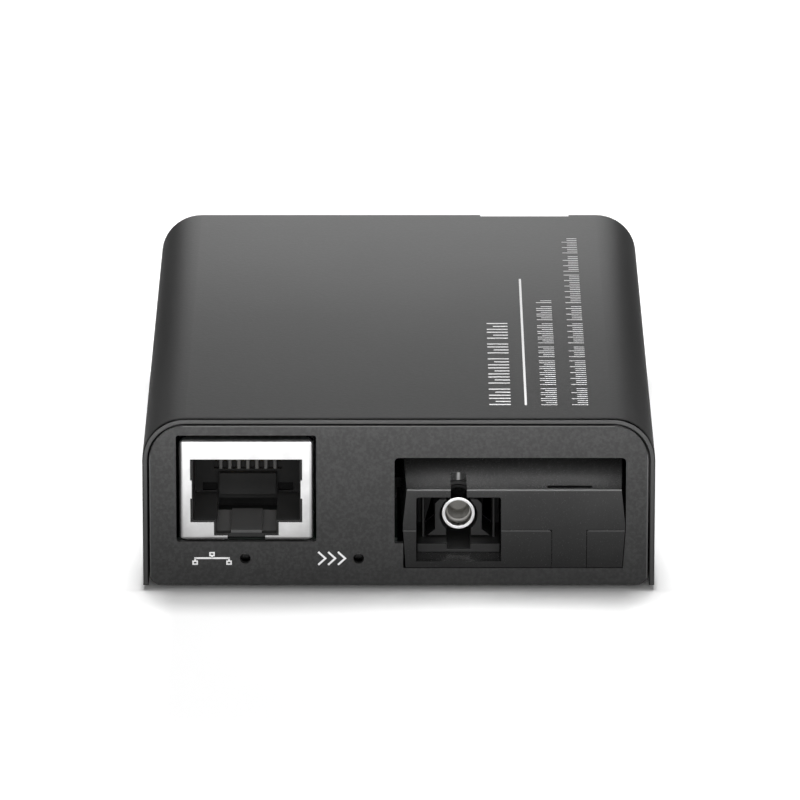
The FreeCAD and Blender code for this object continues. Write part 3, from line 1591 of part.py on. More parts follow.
def make_small_parts():
    """Ceramic capacitors in front of the main chip and resistors behind the crystal."""
    first_x = "magnetics_x - small_part_pitch * (small_part_count - 1) / 2"
    small_parts("ceramic_capacitors", first_x, "converter_front - small_part_length * 2")
    small_parts("chip_resistors", first_x, "resistor_front")


# ---------------------------------------------------------------- build, check and write

def make_all():
    """Build every piece, from the case inwards."""
    make_top_cover()
    make_base_tray()
    make_cover_screws()
    make_rubber_feet()
    make_main_board()
    make_board_standoffs()
    make_board_screws()
    make_status_leds()
    make_jack_shield()
    make_jack_housing()
    make_jack_contacts()
    make_jack_contact_block()
    make_optic_upper_shell()
    make_optic_lower_shell()
    make_optic_latch_carrier()
    make_optic_barrel()
    make_split_sleeve()
    make_fibre_stub()
    make_stub_holder()
    make_prism_block()
    make_wavelength_filter()
    make_laser_can()
    make_receiver_can()
    make_optic_board()
    make_laser_driver_chip()
    make_optic_pins()
    make_power_jack_housing()
    make_power_jack_pin()
    make_power_jack_spring()
    make_converter_chip()
    make_lan_magnetics()
    make_memory_chip()
    make_crystal_can()
    make_voltage_regulator()
    make_power_inductor()
    make_bulk_capacitors()
    make_small_parts()
    doc.recompute()


def check_all():
    """Stop if an object failed or a piece is not a sound solid."""
    for thing in doc.Objects:
        if {"Invalid", "Error"} & set(thing.State):
            raise RuntimeError(f"{thing.Label} ({thing.Name}) failed")
    for part in parts:
        shape = part.Shape
        if shape.isNull() or not shape.isValid() or not shape.Solids:
            raise RuntimeError(f"{part.Label} is not a sound solid")


def write_all():
    """Write each piece to a file named after it."""
    os.makedirs("parts", exist_ok=True)
    for part in parts:
        part.Shape.exportStep(f"parts/{part.Label}.step")


make_all()
check_all()
write_all()
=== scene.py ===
"""Looks for a fibre media converter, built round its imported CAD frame.

The box is a folded steel case in black powder paint, with a network jack and a
single fibre port in its front panel.  The CAD solids give every place and size.  The
classes below dress them, round some of their edges and add small pieces: printed
marks, contact wires and the ribs between them, the drawn barrel with its lip, and
the lamps' lenses.
"""

import logging
import math
from dataclasses import dataclass, field, replace
from enum import Enum
from functools import cache

import bmesh
import bpy
import numpy as np
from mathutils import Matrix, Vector

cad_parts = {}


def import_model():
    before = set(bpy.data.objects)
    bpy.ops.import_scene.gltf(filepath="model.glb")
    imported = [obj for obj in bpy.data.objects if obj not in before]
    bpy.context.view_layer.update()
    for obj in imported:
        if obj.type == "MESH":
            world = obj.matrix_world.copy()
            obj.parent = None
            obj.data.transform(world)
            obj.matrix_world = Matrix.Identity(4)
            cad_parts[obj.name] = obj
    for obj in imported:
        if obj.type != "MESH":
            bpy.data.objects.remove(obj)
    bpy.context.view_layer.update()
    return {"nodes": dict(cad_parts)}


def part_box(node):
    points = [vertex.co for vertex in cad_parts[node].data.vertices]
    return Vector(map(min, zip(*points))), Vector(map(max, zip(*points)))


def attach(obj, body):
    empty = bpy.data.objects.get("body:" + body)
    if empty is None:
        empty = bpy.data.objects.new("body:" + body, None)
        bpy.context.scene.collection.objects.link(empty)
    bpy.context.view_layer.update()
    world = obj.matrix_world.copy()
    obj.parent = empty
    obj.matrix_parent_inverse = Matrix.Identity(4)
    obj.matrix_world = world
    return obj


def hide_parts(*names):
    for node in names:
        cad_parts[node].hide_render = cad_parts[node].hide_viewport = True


MM = 0.001
BODY = "root"
LAMPS = ("link_led", "speed_led")

MERGE = 1e-7
FLAT_ANGLE = math.radians(0.4)
SHARP_ANGLE = math.radians(35.0)

log = logging.getLogger("media_converter")

Colour = tuple[float, float, float]
Point = tuple[float, float, float]
Pair = tuple[float, float]
Grid = np.ndarray
Piece = bpy.types.Object
Mesh = bpy.types.Mesh
Material = bpy.types.Material
Sockets = dict[str, object]

BLACK: Colour = (0.0, 0.0, 0.0)
WHITE: Colour = (1.0, 1.0, 1.0)
EVEN: Point = (1.0, 1.0, 1.0)


def grey(level: int) -> Colour:
    """A neutral colour whose screen value is level out of 255, as linear light."""
    return tint(level, level, level)


def tint(*screen: int) -> Colour:
    """Linear light, by the sRGB curve, for red, green and blue on the screen, 0 to 255."""
    part = np.array(screen) / 255.0
    return tuple(np.where(part > 0.04045, ((part + 0.055) / 1.055) ** 2.4, part / 12.92).tolist())


def toned(colour: Colour, factor: float) -> Colour:
    """A colour made lighter or darker by a factor, with no part past 1."""
    return tuple(min(part * factor, 1.0) for part in colour)


def extent(node: str) -> tuple[Grid, Grid]:
    """The lowest and the highest corner of a CAD node's box, in millimetres."""
    low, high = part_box(node)
    return np.array(low) / MM, np.array(high) / MM


# Shader maths


class Signal:
    """An output of a material's node, written in plain arithmetic."""

    def __init__(self, paint: "Paint", socket: bpy.types.NodeSocket) -> None:
        """Wraps socket, whose sums are added to paint."""
        self.paint = paint
        self.socket = socket

    def _join(self, operation: str, first: "Term", second: "Term") -> "Signal":
        """A Math node that joins two terms by the operation."""
        return self.paint.node("ShaderNodeMath", {"operation": operation}, {0: first, 1: second})

    def __add__(self, other: "Term") -> "Signal":
        """self + other."""
        return self._join("ADD", self, other)

    def __radd__(self, other: "Term") -> "Signal":
        """other + self."""
        return self._join("ADD", other, self)

    def __sub__(self, other: "Term") -> "Signal":
        """self - other."""
        return self._join("SUBTRACT", self, other)

    def __rsub__(self, other: "Term") -> "Signal":
        """other - self."""
        return self._join("SUBTRACT", other, self)

    def __mul__(self, other: "Term") -> "Signal":
        """self * other."""
        return self._join("MULTIPLY", self, other)

    def __rmul__(self, other: "Term") -> "Signal":
        """other * self."""
        return self._join("MULTIPLY", other, self)

    def __abs__(self) -> "Signal":
        """The size of self without its sign."""
        return self._join("ABSOLUTE", self, 0.0)

    def larger(self, other: "Term") -> "Signal":
        """The larger of self and other."""
        return self._join("MAXIMUM", self, other)

    def smaller(self, other: "Term") -> "Signal":
        """The smaller of self and other."""
        return self._join("MINIMUM", self, other)

    def ramp(self, low: float, high: float) -> "Signal":
        """Rises smoothly from 0 at low to 1 at high, and is held outside them."""
        sockets = {"Value": self, "From Min": low, "From Max": high}
        return self.paint.node("ShaderNodeMapRange", {"interpolation_type": "SMOOTHSTEP"}, sockets)


Term = Signal | float


class Paint:
    """One material's node tree, with a principled shader at its end."""

    def __init__(self, name: str) -> None:
        """Starts the material of that name."""
        self.material = bpy.data.materials.new(name)
        self.material.use_nodes = True
        self.tree = self.material.node_tree
        self.tree.nodes.clear()
        self.shader = self.tree.nodes.new("ShaderNodeBsdfPrincipled")
        self.output = self.tree.nodes.new("ShaderNodeOutputMaterial")
        self.tree.links.new(self.shader.outputs[0], self.output.inputs[0])

    def node(
        self,
        kind: str,
        settings: Sockets | None = None,
        inputs: dict[str | int, object] | None = None,
        output: str | int = 0,
    ) -> Signal:
        """Adds a node to the tree.

        Args:
            kind: The node's type, such as ShaderNodeMath.
            settings: Its own settings, set before its sockets.
            inputs: What goes into its sockets by name or number: a signal or a value.
            output: The name or number of the output that is wanted.

        Returns:
            The wanted output.
        """
        made = self.tree.nodes.new(kind)
        for word, value in (settings or {}).items():
            setattr(made, word, value)
        for socket, value in (inputs or {}).items():
            self._feed(made.inputs[socket], value)
        return Signal(self, made.outputs[output])

    def _feed(self, socket: bpy.types.NodeSocket, value: object) -> None:
        """Fills a socket.

        Args:
            socket: The socket.
            value: A signal, which is linked into it, or a number, colour or vector.
        """
        if isinstance(value, Signal):
            self.tree.links.new(value.socket, socket)
        elif socket.type == "RGBA":
            socket.default_value = (*value, 1.0)
        else:
            socket.default_value = value

    def place(self, scale: Point = EVEN) -> Signal:
        """The surface point in object coordinates, stretched by scale."""
        point = self.node("ShaderNodeTexCoord", output="Object")
        return self.node("ShaderNodeMapping", inputs={"Vector": point, "Scale": scale})

    def noise(self, size_mm: float, detail: float = 2.0, stretch: Point = EVEN) -> Signal:
        """Cloudy noise from 0 to 1.

        Args:
            size_mm: The length of one of its waves.
            detail: How many finer layers it has.
            stretch: How much finer the pattern runs along each axis.

        Returns:
            The noise's value.
        """
        sockets = {"Vector": self.place(stretch), "Scale": 1.0 / (size_mm * MM)}
        sockets |= {"Detail": detail, "Roughness": 0.55}
        return self.node("ShaderNodeTexNoise", inputs=sockets)

    def cells(self, size_mm: float, distance: str = "EUCLIDEAN") -> Signal:
        """Distance to the nearest of many scattered points, counted in their mean spacing."""
        sockets = {"Vector": self.place(), "Scale": 1.0 / (size_mm * MM), "Randomness": 1.0}
        return self.node("ShaderNodeTexVoronoi", {"feature": "F1", "distance": distance}, sockets)

    def blend(self, factor: Term, first: object, second: object) -> Signal:
        """A colour between first, at factor 0, and second, at factor 1."""
        sockets = {"Factor": factor, 6: first, 7: second}
        return self.node("ShaderNodeMix", {"data_type": "RGBA"}, sockets, output=2)

    def axis(self, name: str) -> Signal:
        """One coordinate of the surface point, X, Y or Z, in metres."""
        point = self.node("ShaderNodeTexCoord", output="Object")
        return self.node("ShaderNodeSeparateXYZ", inputs={0: point}, output=name)

    def inside(self, low: Point, high: Point, soft: float) -> Signal:
        """1 inside a box and 0 outside it.

        Args:
            low: The box's lowest corner, in millimetres.
            high: Its highest corner.
            soft: How far inside its faces it reaches 1.

        Returns:
            The product over the three axes of the clamped depth below the nearer face.
        """
        masks = []
        for name, near, far in zip("XYZ", low, high):
            place = self.axis(name)
            depth = (place - near * MM).smaller(far * MM - place)
            masks.append(depth.ramp(0.0, soft * MM))
        return masks[0] * masks[1] * masks[2]

    def bump(self, height: Signal, depth_mm: float) -> Signal:
        """The surface's direction where height raises it by depth_mm at most."""
        sockets = {"Height": height, "Distance": depth_mm * MM, "Strength": 1.0}
        return self.node("ShaderNodeBump", inputs=sockets)

    def finish(self, **sockets: object) -> Material:
        """Feeds the principled shader by socket name, with _ for a space."""
        for word, value in sockets.items():
            self._feed(self.shader.inputs[word.replace("_", " ")], value)
        return self.material


class Sky(Paint):
    """The world's node tree, with a background shader at its end."""

    def __init__(self, name: str) -> None:
        """Starts the world of that name."""
        self.material = bpy.data.worlds.new(name)
        self.material.use_nodes = True
        self.tree = self.material.node_tree
        self.shader = next(n for n in self.tree.nodes if n.type == "BACKGROUND")


# Finishes


@dataclass(frozen=True)
class Patch:
    """Painted highlight and shade in a box: a finish lighter or darker in it by a factor, its
    tone.

    The corners are in millimetres, and so is soft, the depth inside the box's faces
    at which it has its full tone.
    """

    low: Point
    high: Point
    tone: float
    soft: float = 0.05


class Recipe:
    """A finish that can be mixed into a material."""

    colour: Colour
    patches: tuple[Patch, ...]

    def mix(self, name: str) -> Material:
        """The finish as a material of that name."""
        paint = Paint(name)
        return paint.finish(**self.sockets(paint))

    def sockets(self, paint: Paint) -> Sockets:
        """What feeds the shader's sockets, by name, with its nodes added to the paint."""
        raise NotImplementedError

    def overlaid(self, paint: Paint, under: Signal) -> Signal:
        """Lays the finish's patches of painted highlight and shade over its colour in turn.

        Args:
            paint: Its paint.
            under: The colour, as it is without them.

        Returns:
            The colour with the plain colour in each patch's tone over its box.
        """
        for patch in self.patches:
            box = paint.inside(patch.low, patch.high, patch.soft)
            under = paint.blend(box, under, toned(self.colour, patch.tone))
        return under


@dataclass(frozen=True)
class PowderPaint(Recipe):
    """Baked powder paint on sheet steel: a fine sand texture with a dull sheen.

    Its grains are lighter and its pits darker than the colour by the contrast.  The
    swings say how far the roughness follows the grains and the broad clouds.
    """

    colour: Colour
    grain_mm: float = 0.34
    pit_mm: float = 0.578
    cloud_mm: float = 14.0
    depth_mm: float = 0.016
    contrast: float = 0.32
    fine_share: float = 0.7
    grain_band: Pair = (0.35, 0.7)
    roughness: float = 0.5
    grain_swing: float = 0.08
    cloud_swing: float = 0.03
    sheen: float = 0.35
    patches: tuple[Patch, ...] = ()

    def sockets(self, paint: Paint) -> Sockets:
        """Sand grains and pits, over a broad cloudiness."""
        fine = paint.noise(self.grain_mm, 3.0)
        pits = paint.cells(self.pit_mm)
        cloud = paint.noise(self.cloud_mm)
        broad_share = 1.0 - self.fine_share
        shade = fine.ramp(*self.grain_band) * self.fine_share + cloud * broad_share
        dark, pale = (toned(self.colour, 1.0 + side * self.contrast) for side in (-1, 1))
        level = self.roughness - self.grain_swing / 2
        return {
            "Base_Color": self.overlaid(paint, paint.blend(shade, dark, pale)),
            "Roughness": level + fine * self.grain_swing + cloud * self.cloud_swing,
            "Specular_IOR_Level": self.sheen,
            "Normal": paint.bump(fine * self.fine_share + pits * broad_share, self.depth_mm),
        }


@dataclass(frozen=True)
class SheetMetal(Recipe):
    """Bare or plated metal with fine drawn lines and faint handling marks.

    Marks darken it down to the dulling, and take its roughness from polish below
    its own to wear more than that.
    """

    colour: Colour
    roughness: float = 0.3
    drawn_mm: float = 0.12
    mark_mm: float = 2.6
    mark_band: Pair = (0.3, 0.7)
    depth_mm: float = 0.001
    along: Point = (1.0, 1.0, 8.0)
    dulling: float = 0.86
    polish: float = 0.05
    wear: float = 0.12
    patches: tuple[Patch, ...] = ()

    def sockets(self, paint: Paint) -> Sockets:
        """Noise drawn out along the metal's grain, under cloudy marks."""
        lines = paint.noise(self.drawn_mm, stretch=self.along)
        marks = paint.noise(self.mark_mm, 3.0)
        dull = toned(self.colour, self.dulling)
        colour = paint.blend(marks.ramp(*self.mark_band), dull, self.colour)
        return {
            "Base_Color": self.overlaid(paint, colour),
            "Metallic": 1.0,
            "Roughness": self.roughness - self.polish + marks * self.wear,
            "Normal": paint.bump(lines, self.depth_mm),
        }


@dataclass(frozen=True)
class Moulding(Recipe):
    """Moulded plastic with a spark-eroded skin, and faint marks of its flow."""

    colour: Colour
    roughness: float = 0.45
    grain_mm: float = 0.12
    depth_mm: float = 0.004
    sheen: float = 0.4
    flow_mm: float = 5.0
    flow_band: Pair = (0.25, 0.75)
    contrast: float = 0.12
    swing: float = 0.08
    patches: tuple[Patch, ...] = ()

    def sockets(self, paint: Paint) -> Sockets:
        """A fine skin over slow changes of shade."""
        skin = paint.noise(self.grain_mm)
        flow = paint.noise(self.flow_mm)
        dark, pale = (toned(self.colour, 1.0 + side * self.contrast) for side in (-1, 1))
        colour = paint.blend(flow.ramp(*self.flow_band), dark, pale)
        return {
            "Base_Color": self.overlaid(paint, colour),
            "Roughness": self.roughness - self.swing / 2 + skin * self.swing,
            "Specular_IOR_Level": self.sheen,
            "Normal": paint.bump(skin, self.depth_mm),
        }


@dataclass(frozen=True)
class Stone(Recipe):
    """Pressed and fired material, such as ceramic, ferrite or rubber with filler."""

    colour: Colour
    fleck: Colour
    roughness: float = 0.5
    fleck_mm: float = 0.2
    depth_mm: float = 0.003
    fleck_band: Pair = (0.1, 0.6)
    flecks_to_cloud: float = 6.0
    swing: float = 0.1

    def sockets(self, paint: Paint) -> Sockets:
        """Scattered flecks, with a roughness that changes over several of them."""
        flecks = paint.cells(self.fleck_mm)
        cloud = paint.noise(self.fleck_mm * self.flecks_to_cloud)
        return {
            "Base_Color": paint.blend(flecks.ramp(*self.fleck_band), self.fleck, self.colour),
            "Roughness": self.roughness - self.swing / 2 + cloud * self.swing,
            "Normal": paint.bump(flecks, self.depth_mm),
        }


@dataclass(frozen=True)
class SolderMask(Recipe):
    """Dark green lacquer over copper tracks."""

    lacquer: Colour = tint(7, 13, 10)
    over_copper: Colour = tint(12, 24, 18)
    track_mm: float = 1.1
    track_band: Pair = (0.34, 0.36)
    height_mm: float = 0.02
    roughness: float = 0.28
    haze_mm: float = 3.0
    swing: float = 0.1

    def sockets(self, paint: Paint) -> Sockets:
        """Square cells whose outer parts stand for the tracks."""
        tracks = paint.cells(self.track_mm, "CHEBYCHEV").ramp(*self.track_band)
        return {
            "Base_Color": paint.blend(tracks, self.lacquer, self.over_copper),
            "Roughness": self.roughness + paint.noise(self.haze_mm) * self.swing,
            "Normal": paint.bump(tracks, self.height_mm),
        }


@dataclass(frozen=True)
class Clear(Recipe):
    """Resin or coated glass that light passes through."""

    colour: Colour
    roughness: float = 0.08
    index: float = 1.5
    passing: float = 0.6
    ripple_mm: float = 0.7
    depth: float = 0.8
    swing: float = 0.04

    def sockets(self, paint: Paint) -> Sockets:
        """Slow ripples of shade and roughness."""
        ripple = paint.noise(self.ripple_mm, 1.0)
        return {
            "Base_Color": paint.blend(ripple, toned(self.colour, self.depth), self.colour),
            "Roughness": self.roughness + ripple * self.swing,
            "IOR": self.index,
            "Transmission_Weight": self.passing,
        }


class Finish(Enum):
    """Every finish, each named after the record's slot that it fills."""

    CASE_BLACK = PowderPaint(grey(47), sheen=0.35)
    SCREW_BLACK = SheetMetal(grey(52), 0.38, along=EVEN)
    FOOT_RUBBER = Stone(grey(34), grey(46), 0.8, 0.3)
    BOARD_GREEN = SolderMask()
    STANDOFF_STEEL = SheetMetal(grey(190), 0.3)
    TINNED_SHEET = SheetMetal(grey(242), 0.3)
    JACK_PLASTIC = Moulding(grey(44), 0.34, 0.1, 0.002, sheen=0.12)
    CONTACT_GOLD = SheetMetal(tint(226, 182, 104), 0.24)
    LAMP_RESIN = Clear(grey(24), 0.25, passing=0.2)
    MODULE_PLASTIC = Moulding(grey(32), 0.26, depth_mm=0.002, sheen=0.4)
    CARRIER_PLASTIC = Moulding(grey(26), 0.42)
    BARREL_STEEL = SheetMetal(grey(226), 0.14, depth_mm=0.0003, along=(1.0, 8.0, 1.0))
    ZIRCONIA = Stone(tint(170, 168, 163), tint(158, 156, 150), 0.2, 0.1, 0.0005)
    BLOCK_STEEL = SheetMetal(grey(180), 0.3)
    FILTER_GLASS = Clear(tint(206, 190, 220), 0.03)
    CAN_GOLD = SheetMetal(tint(232, 196, 118), 0.22)
    CHIP_BLACK = Moulding(grey(38), 0.6, 0.09, 0.004)
    PIN_TIN = SheetMetal(grey(206), 0.28)
    CRYSTAL_STEEL = SheetMetal(grey(200), 0.26)
    FERRITE = Stone(grey(62), grey(40), 0.66)
    CAPACITOR_CAN = SheetMetal(grey(198), 0.3, along=(1.0, 1.0, 0.3))
    CERAMIC_TAN = Stone(tint(186, 158, 122), tint(170, 142, 106), 0.5)
    RESISTOR_BLACK = Stone(grey(26), grey(44), 0.5)
    PRINT_INK = Stone(grey(236), grey(222), 0.55, 0.15, 0.0005)
    COVER_INK = Stone(grey(200), grey(186), 0.55, 0.15, 0.0005)
    GUIDE_PLASTIC = Moulding(grey(112), 0.4)
    # A painted highlight: white and not metal, standing in for the glint of the barrel's polished
    # steel lip.
    LIP_BRIGHT = Stone(grey(240), grey(232), 0.2, 0.08, 0.0002)

    @property
    def slot(self) -> str | None:
        """The record's slot of that name, or None for a finish that no node has."""
        extra = (Finish.PRINT_INK, Finish.COVER_INK, Finish.GUIDE_PLASTIC, Finish.LIP_BRIGHT)
        return None if self in extra else self.name.lower()

    @classmethod
    def of(cls, node: Piece) -> "Finish":
        """The finish that a CAD node's own slot names."""
        return cls[node.data.materials[0].name.split(".")[0].upper()]

    @cache
    def material(self) -> Material:
        """The finish as a material, mixed once."""
        return self.value.mix(self.name.lower())

    def cover(self, mesh: Mesh) -> None:
        """Fills each of a mesh's slots with the finish, or a first one if it has none.

        Args:
            mesh: The mesh.
        """
        if not mesh.materials:
            mesh.materials.append(None)
        for index in range(len(mesh.materials)):
            mesh.materials[index] = self.material()


# Shapes


class Shape:
    """Grids of points gathered into one mesh, in millimetres until it is made."""

    def __init__(self) -> None:
        """Starts with no grid."""
        self.points: list[Grid] = []
        self.faces: list[list[int]] = []
        self.count = 0

    def grid(self, points: Grid, around: bool = False, ends: bool = False) -> "Shape":
        """Adds the quads between the points of a grid.

        Args:
            points: Rows of points, as an array of rows, columns and 3.
            around: Joins the last column to the first.
            ends: Closes the first row and the last with one face each.

        Returns:
            The shape itself.
        """
        rows, columns = points.shape[:2]
        numbers = np.arange(rows * columns).reshape(rows, columns) + self.count
        rim = numbers
        if around:
            numbers = np.concatenate([numbers, numbers[:, :1]], axis=1)
        quads = np.stack(
            [numbers[:-1, :-1], numbers[1:, :-1], numbers[1:, 1:], numbers[:-1, 1:]], axis=-1
        )
        self.faces += quads.reshape(-1, 4).tolist()
        if ends:
            self.faces += [rim[0, ::-1].tolist(), rim[-1].tolist()]
        self.points.append(points.reshape(-1, 3))
        self.count += rows * columns
        return self

    def make(self, name: str, finish: Finish) -> Piece:
        """Makes the object.

        Args:
            name: The piece's name.
            finish: What its surface is.

        Returns:
            The object, on the part's body, with doubles merged and faces outwards.
        """
        mesh = bpy.data.meshes.new(name)
        points = np.concatenate(self.points) * MM
        mesh.from_pydata(points.tolist(), [], self.faces)
        settle(mesh)
        return stand(name, mesh, finish)


def stand(name: str, mesh: Mesh, finish: Finish) -> Piece:
    """Makes an object of a finished mesh.

    Args:
        name: The piece's name.
        mesh: The mesh, in metres in the part's frame.
        finish: What its surface is.

    Returns:
        The object, on the part's body, with the finish in each of its mesh's slots.
    """
    finish.cover(mesh)
    piece = bpy.data.objects.new(name, mesh)
    bpy.context.scene.collection.objects.link(piece)
    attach(piece, BODY)
    if finish.slot:
        finish.slot
    return piece


def settle(mesh: Mesh, flat: bool = False) -> None:
    """Merges a mesh's doubles, turns its faces outwards and shades it smooth.

    Args:
        mesh: The mesh, changed in place.
        flat: Joins the small faces of one plane into one face.
    """
    work = bmesh.new()
    work.from_mesh(mesh)
    bmesh.ops.remove_doubles(work, verts=work.verts, dist=MERGE)
    if flat:
        bmesh.ops.dissolve_limit(work, angle_limit=FLAT_ANGLE, verts=work.verts, edges=work.edges)
    bmesh.ops.recalc_face_normals(work, faces=work.faces)
    work.to_mesh(mesh)
    work.free()
    if "custom_normal" in mesh.attributes:
        mesh.attributes.remove(mesh.attributes["custom_normal"])
    mesh.shade_smooth()
    mesh.set_sharp_from_angle(angle=SHARP_ANGLE)


def carry(path: Grid, section: Grid, across: Point) -> Grid:
    """Carries a closed section along a path that lies in one plane.

    At each point of the path, the side direction is the path's own direction crossed
    with across, lengthened at a corner by 1 / cos of half its turn so that the width
    stays true.  A point of the section then stands at
    path + side * section's first number + across * its second.

    Args:
        path: Points in order, as an array of n and 3, in millimetres.
        section: The outline carried, as an array of m and 2.
        across: The direction square to the path's plane.

    Returns:
        The points, as an array of n, m and 3.
    """
    across = np.array(across, float)
    steps = np.diff(path, axis=0)
    steps /= np.linalg.norm(steps, axis=1, keepdims=True)
    before = np.concatenate([steps[:1], steps])
    after = np.concatenate([steps, steps[-1:]])
    ahead = before + after
    ahead /= np.linalg.norm(ahead, axis=1, keepdims=True)
    stretch = 1.0 / np.sum(ahead * after, axis=1)
    side = np.cross(ahead, across) * stretch[:, None]
    return (
        path[:, None, :]
        + side[:, None, :] * section[None, :, 0, None]
        + across * section[None, :, 1, None]
    )


def turned(profile: Grid, centre: Point, steps: int = 96) -> Grid:
    """Turns a profile round an axis that runs along Y.

    A profile point (r, y) at angle a stands at centre + (r cos a, y, r sin a).

    Args:
        profile: Radius and distance along the axis, as an array of n and 2.
        centre: Where the axis has distance 0.
        steps: How many points go round.

    Returns:
        The points, as an array of n, steps and 3.
    """
    angle = np.linspace(0.0, 2.0 * np.pi, steps, endpoint=False)
    radius, along = profile[:, :1], profile[:, 1:]
    spots = (radius * np.cos(angle), along + 0.0 * angle, radius * np.sin(angle))
    return np.stack(spots, axis=-1) + centre


def arc(middle: Pair, radius: float, start: float, end: float, steps: int) -> Grid:
    """Points on a circle from start to end, in degrees, as middle + radius (cos, sin)."""
    angle = np.radians(np.linspace(start, end, steps))
    return np.column_stack([np.cos(angle), np.sin(angle)]) * radius + middle


def oblong(width: float, height: float, corner: float, steps: int) -> Grid:
    """A rectangle with round corners about 0, anticlockwise from its right side."""
    right, top = width / 2 - corner, height / 2 - corner
    middles = ((right, top), (-right, top), (-right, -top), (right, -top))
    quarters = [arc(at, corner, 90 * n, 90 * n + 90, steps) for n, at in enumerate(middles)]
    return np.concatenate(quarters)


# Pieces


@dataclass
class Ink:
    """Screen-printed ink on a flat face: strokes laid as thin raised ribbons."""

    name: str
    origin: Point
    right: Point
    up: Point
    finish: Finish = Finish.PRINT_INK
    thick: float = 0.02
    shape: Shape = field(default_factory=Shape)

    def stroke(self, width: float, *corners: Pair) -> None:
        """Lays a stroke.

        Args:
            width: Its width in millimetres.
            corners: The points it passes through, as distances across and up.
        """
        right, up = np.array(self.right, float), np.array(self.up, float)
        flat = np.array(corners, float)
        path = np.array(self.origin) + flat[:, :1] * right + flat[:, 1:] * up
        half = width / 2
        edge = [(half, 0.0), (half, self.thick), (-half, self.thick), (-half, 0.0)]
        out = tuple(np.cross(right, up))
        self.shape.grid(carry(path, np.array(edge), out), around=True, ends=True)

    def frame(self, width: float, low: Pair, high: Pair) -> None:
        """Lays the outline of a rectangle in strokes of one width.

        Args:
            width: The strokes' width, inside the rectangle.
            low: The rectangle's lower left corner.
            high: Its upper right corner.
        """
        (left, bottom), (right, top) = low, high
        half = width / 2
        for across in (left + half, right - half):
            self.stroke(width, (across, bottom), (across, top))
        for up in (bottom + half, top - half):
            self.stroke(width, (left + width, up), (right - width, up))

    def make(self) -> Piece:
        """The printed strokes as one piece."""
        return self.shape.make(self.name, self.finish)


@dataclass(frozen=True)
class TextRow:
    """One row of bars in place of text.

    It ends at end, along the part, and its base stands that far to the right.  The bars
    stand a pitch apart and reach the given shares of the row's height in turn.
    """

    base: float
    height: float
    end: float
    width: float
    pitch: float
    shares: tuple[float, ...]


@dataclass
class TopPrint:
    """Printed lines on the cover: three rows of plain bars and a ruled line.

    The rows run from the front to the back and stand upright seen from the right.  A
    row's bars come in groups as long as the words, one after the other.
    """

    start: float = -36.9
    rule_x: float = 14.18
    rule_end: float = 14.35
    rule_width: float = 0.26
    rows: tuple[TextRow, ...] = (
        TextRow(12.5, 2.4, -4.0, 0.3, 1.2, (1.0, 0.7, 1.0)),
        TextRow(17.7, 1.8, 5.3, 0.15, 0.78, (1.0, 0.7, 1.0)),
        TextRow(21.15, 1.8, 33.1, 0.15, 0.78, (1.0, 0.66, 0.66)),
    )
    words: tuple[float, ...] = (7.0, 10.0, 4.5, 8.5, 5.5, 12.0, 6.5)

    def build(self) -> Piece:
        """The print on the cover's top, as one piece."""
        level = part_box("top_cover")[1].z / MM
        right, up = (0, 1, 0), (-1, 0, 0)
        ink = Ink("top_print", (0, 0, level), right, up, Finish.COVER_INK)
        ink.stroke(self.rule_width, (self.start, -self.rule_x), (self.rule_end, -self.rule_x))
        for row in self.rows:
            self._row(ink, row)
        return ink.make()

    def _row(self, ink: Ink, row: TextRow) -> None:
        """Lays a row's bars, with a space of half its height after each group.

        Args:
            ink: What they are laid in.
            row: The row.
        """
        along = self.start + row.width / 2
        for group in self.words * 3:
            stop = min(along + group, row.end)
            count = int((stop - along) / row.pitch)
            for number in range(count + 1):
                place = along + number * row.pitch
                tall = row.height * row.shares[number % len(row.shares)]
                ink.stroke(row.width, (place, -row.base), (place, tall - row.base))
            along += (count + 1) * row.pitch + row.height / 2
            if along > row.end - row.pitch:
                return


@dataclass
class FrontPrint:
    """Two printed signs on the front panel, each left of its lamp.

    The first is the common sign for a wired network, three boxes on a shared line, and
    the second is three arrowheads for speed.  Distances across are counted from a
    sign's right end, and distances up from its foot.
    """

    level: float = 3.62
    height: float = 1.5
    gap: float = 1.5
    line: float = 0.2
    box: Pair = (0.62, 0.5)
    box_line: float = 0.16
    box_lefts: Pair = (-4.4, -0.62)
    middle: float = -2.2
    shared: float = 0.78
    tips: tuple[float, ...] = (-2.2, -1.1, 0.0)
    tip_reach: float = 0.8
    tip_line: float = 0.22

    def build(self) -> list[Piece]:
        """Both signs on the panel's face."""
        low = self.level - self.height / 2
        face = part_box("base_tray")[0].y / MM
        pieces = []
        draws = {"network_sign": self._network, "speed_sign": self._speed}
        for lamp, (name, draw) in zip(LAMPS, draws.items()):
            left, right = (corner[0] for corner in extent(lamp))
            foot = ((left + right) / 2 - self.gap, face, low)
            ink = Ink(name, foot, (1, 0, 0), (0, 0, 1))
            draw(ink)
            pieces.append(ink.make())
        return pieces

    def _network(self, ink: Ink) -> None:
        """Lays two boxes below a shared line and one above it."""
        wide, tall = self.box
        for left in self.box_lefts:
            ink.frame(self.box_line, (left, 0.0), (left + wide, tall))
            ink.stroke(self.line, (left + wide / 2, tall), (left + wide / 2, self.shared))
        middle, under = self.middle, self.height - tall
        ink.frame(self.box_line, (middle - wide / 2, under), (middle + wide / 2, self.height))
        ink.stroke(self.line, (middle, self.shared), (middle, under))
        inset = (wide - self.line) / 2
        ends = (self.box_lefts[0] + inset, self.box_lefts[1] + wide - inset)
        ink.stroke(self.line, *((end, self.shared) for end in ends))

    def _speed(self, ink: Ink) -> None:
        """Lays three arrowheads in a row."""
        for tip in self.tips:
            tail = tip - self.tip_reach
            ink.stroke(self.tip_line, (tail, 0.0), (tip, self.height / 2), (tail, self.height))


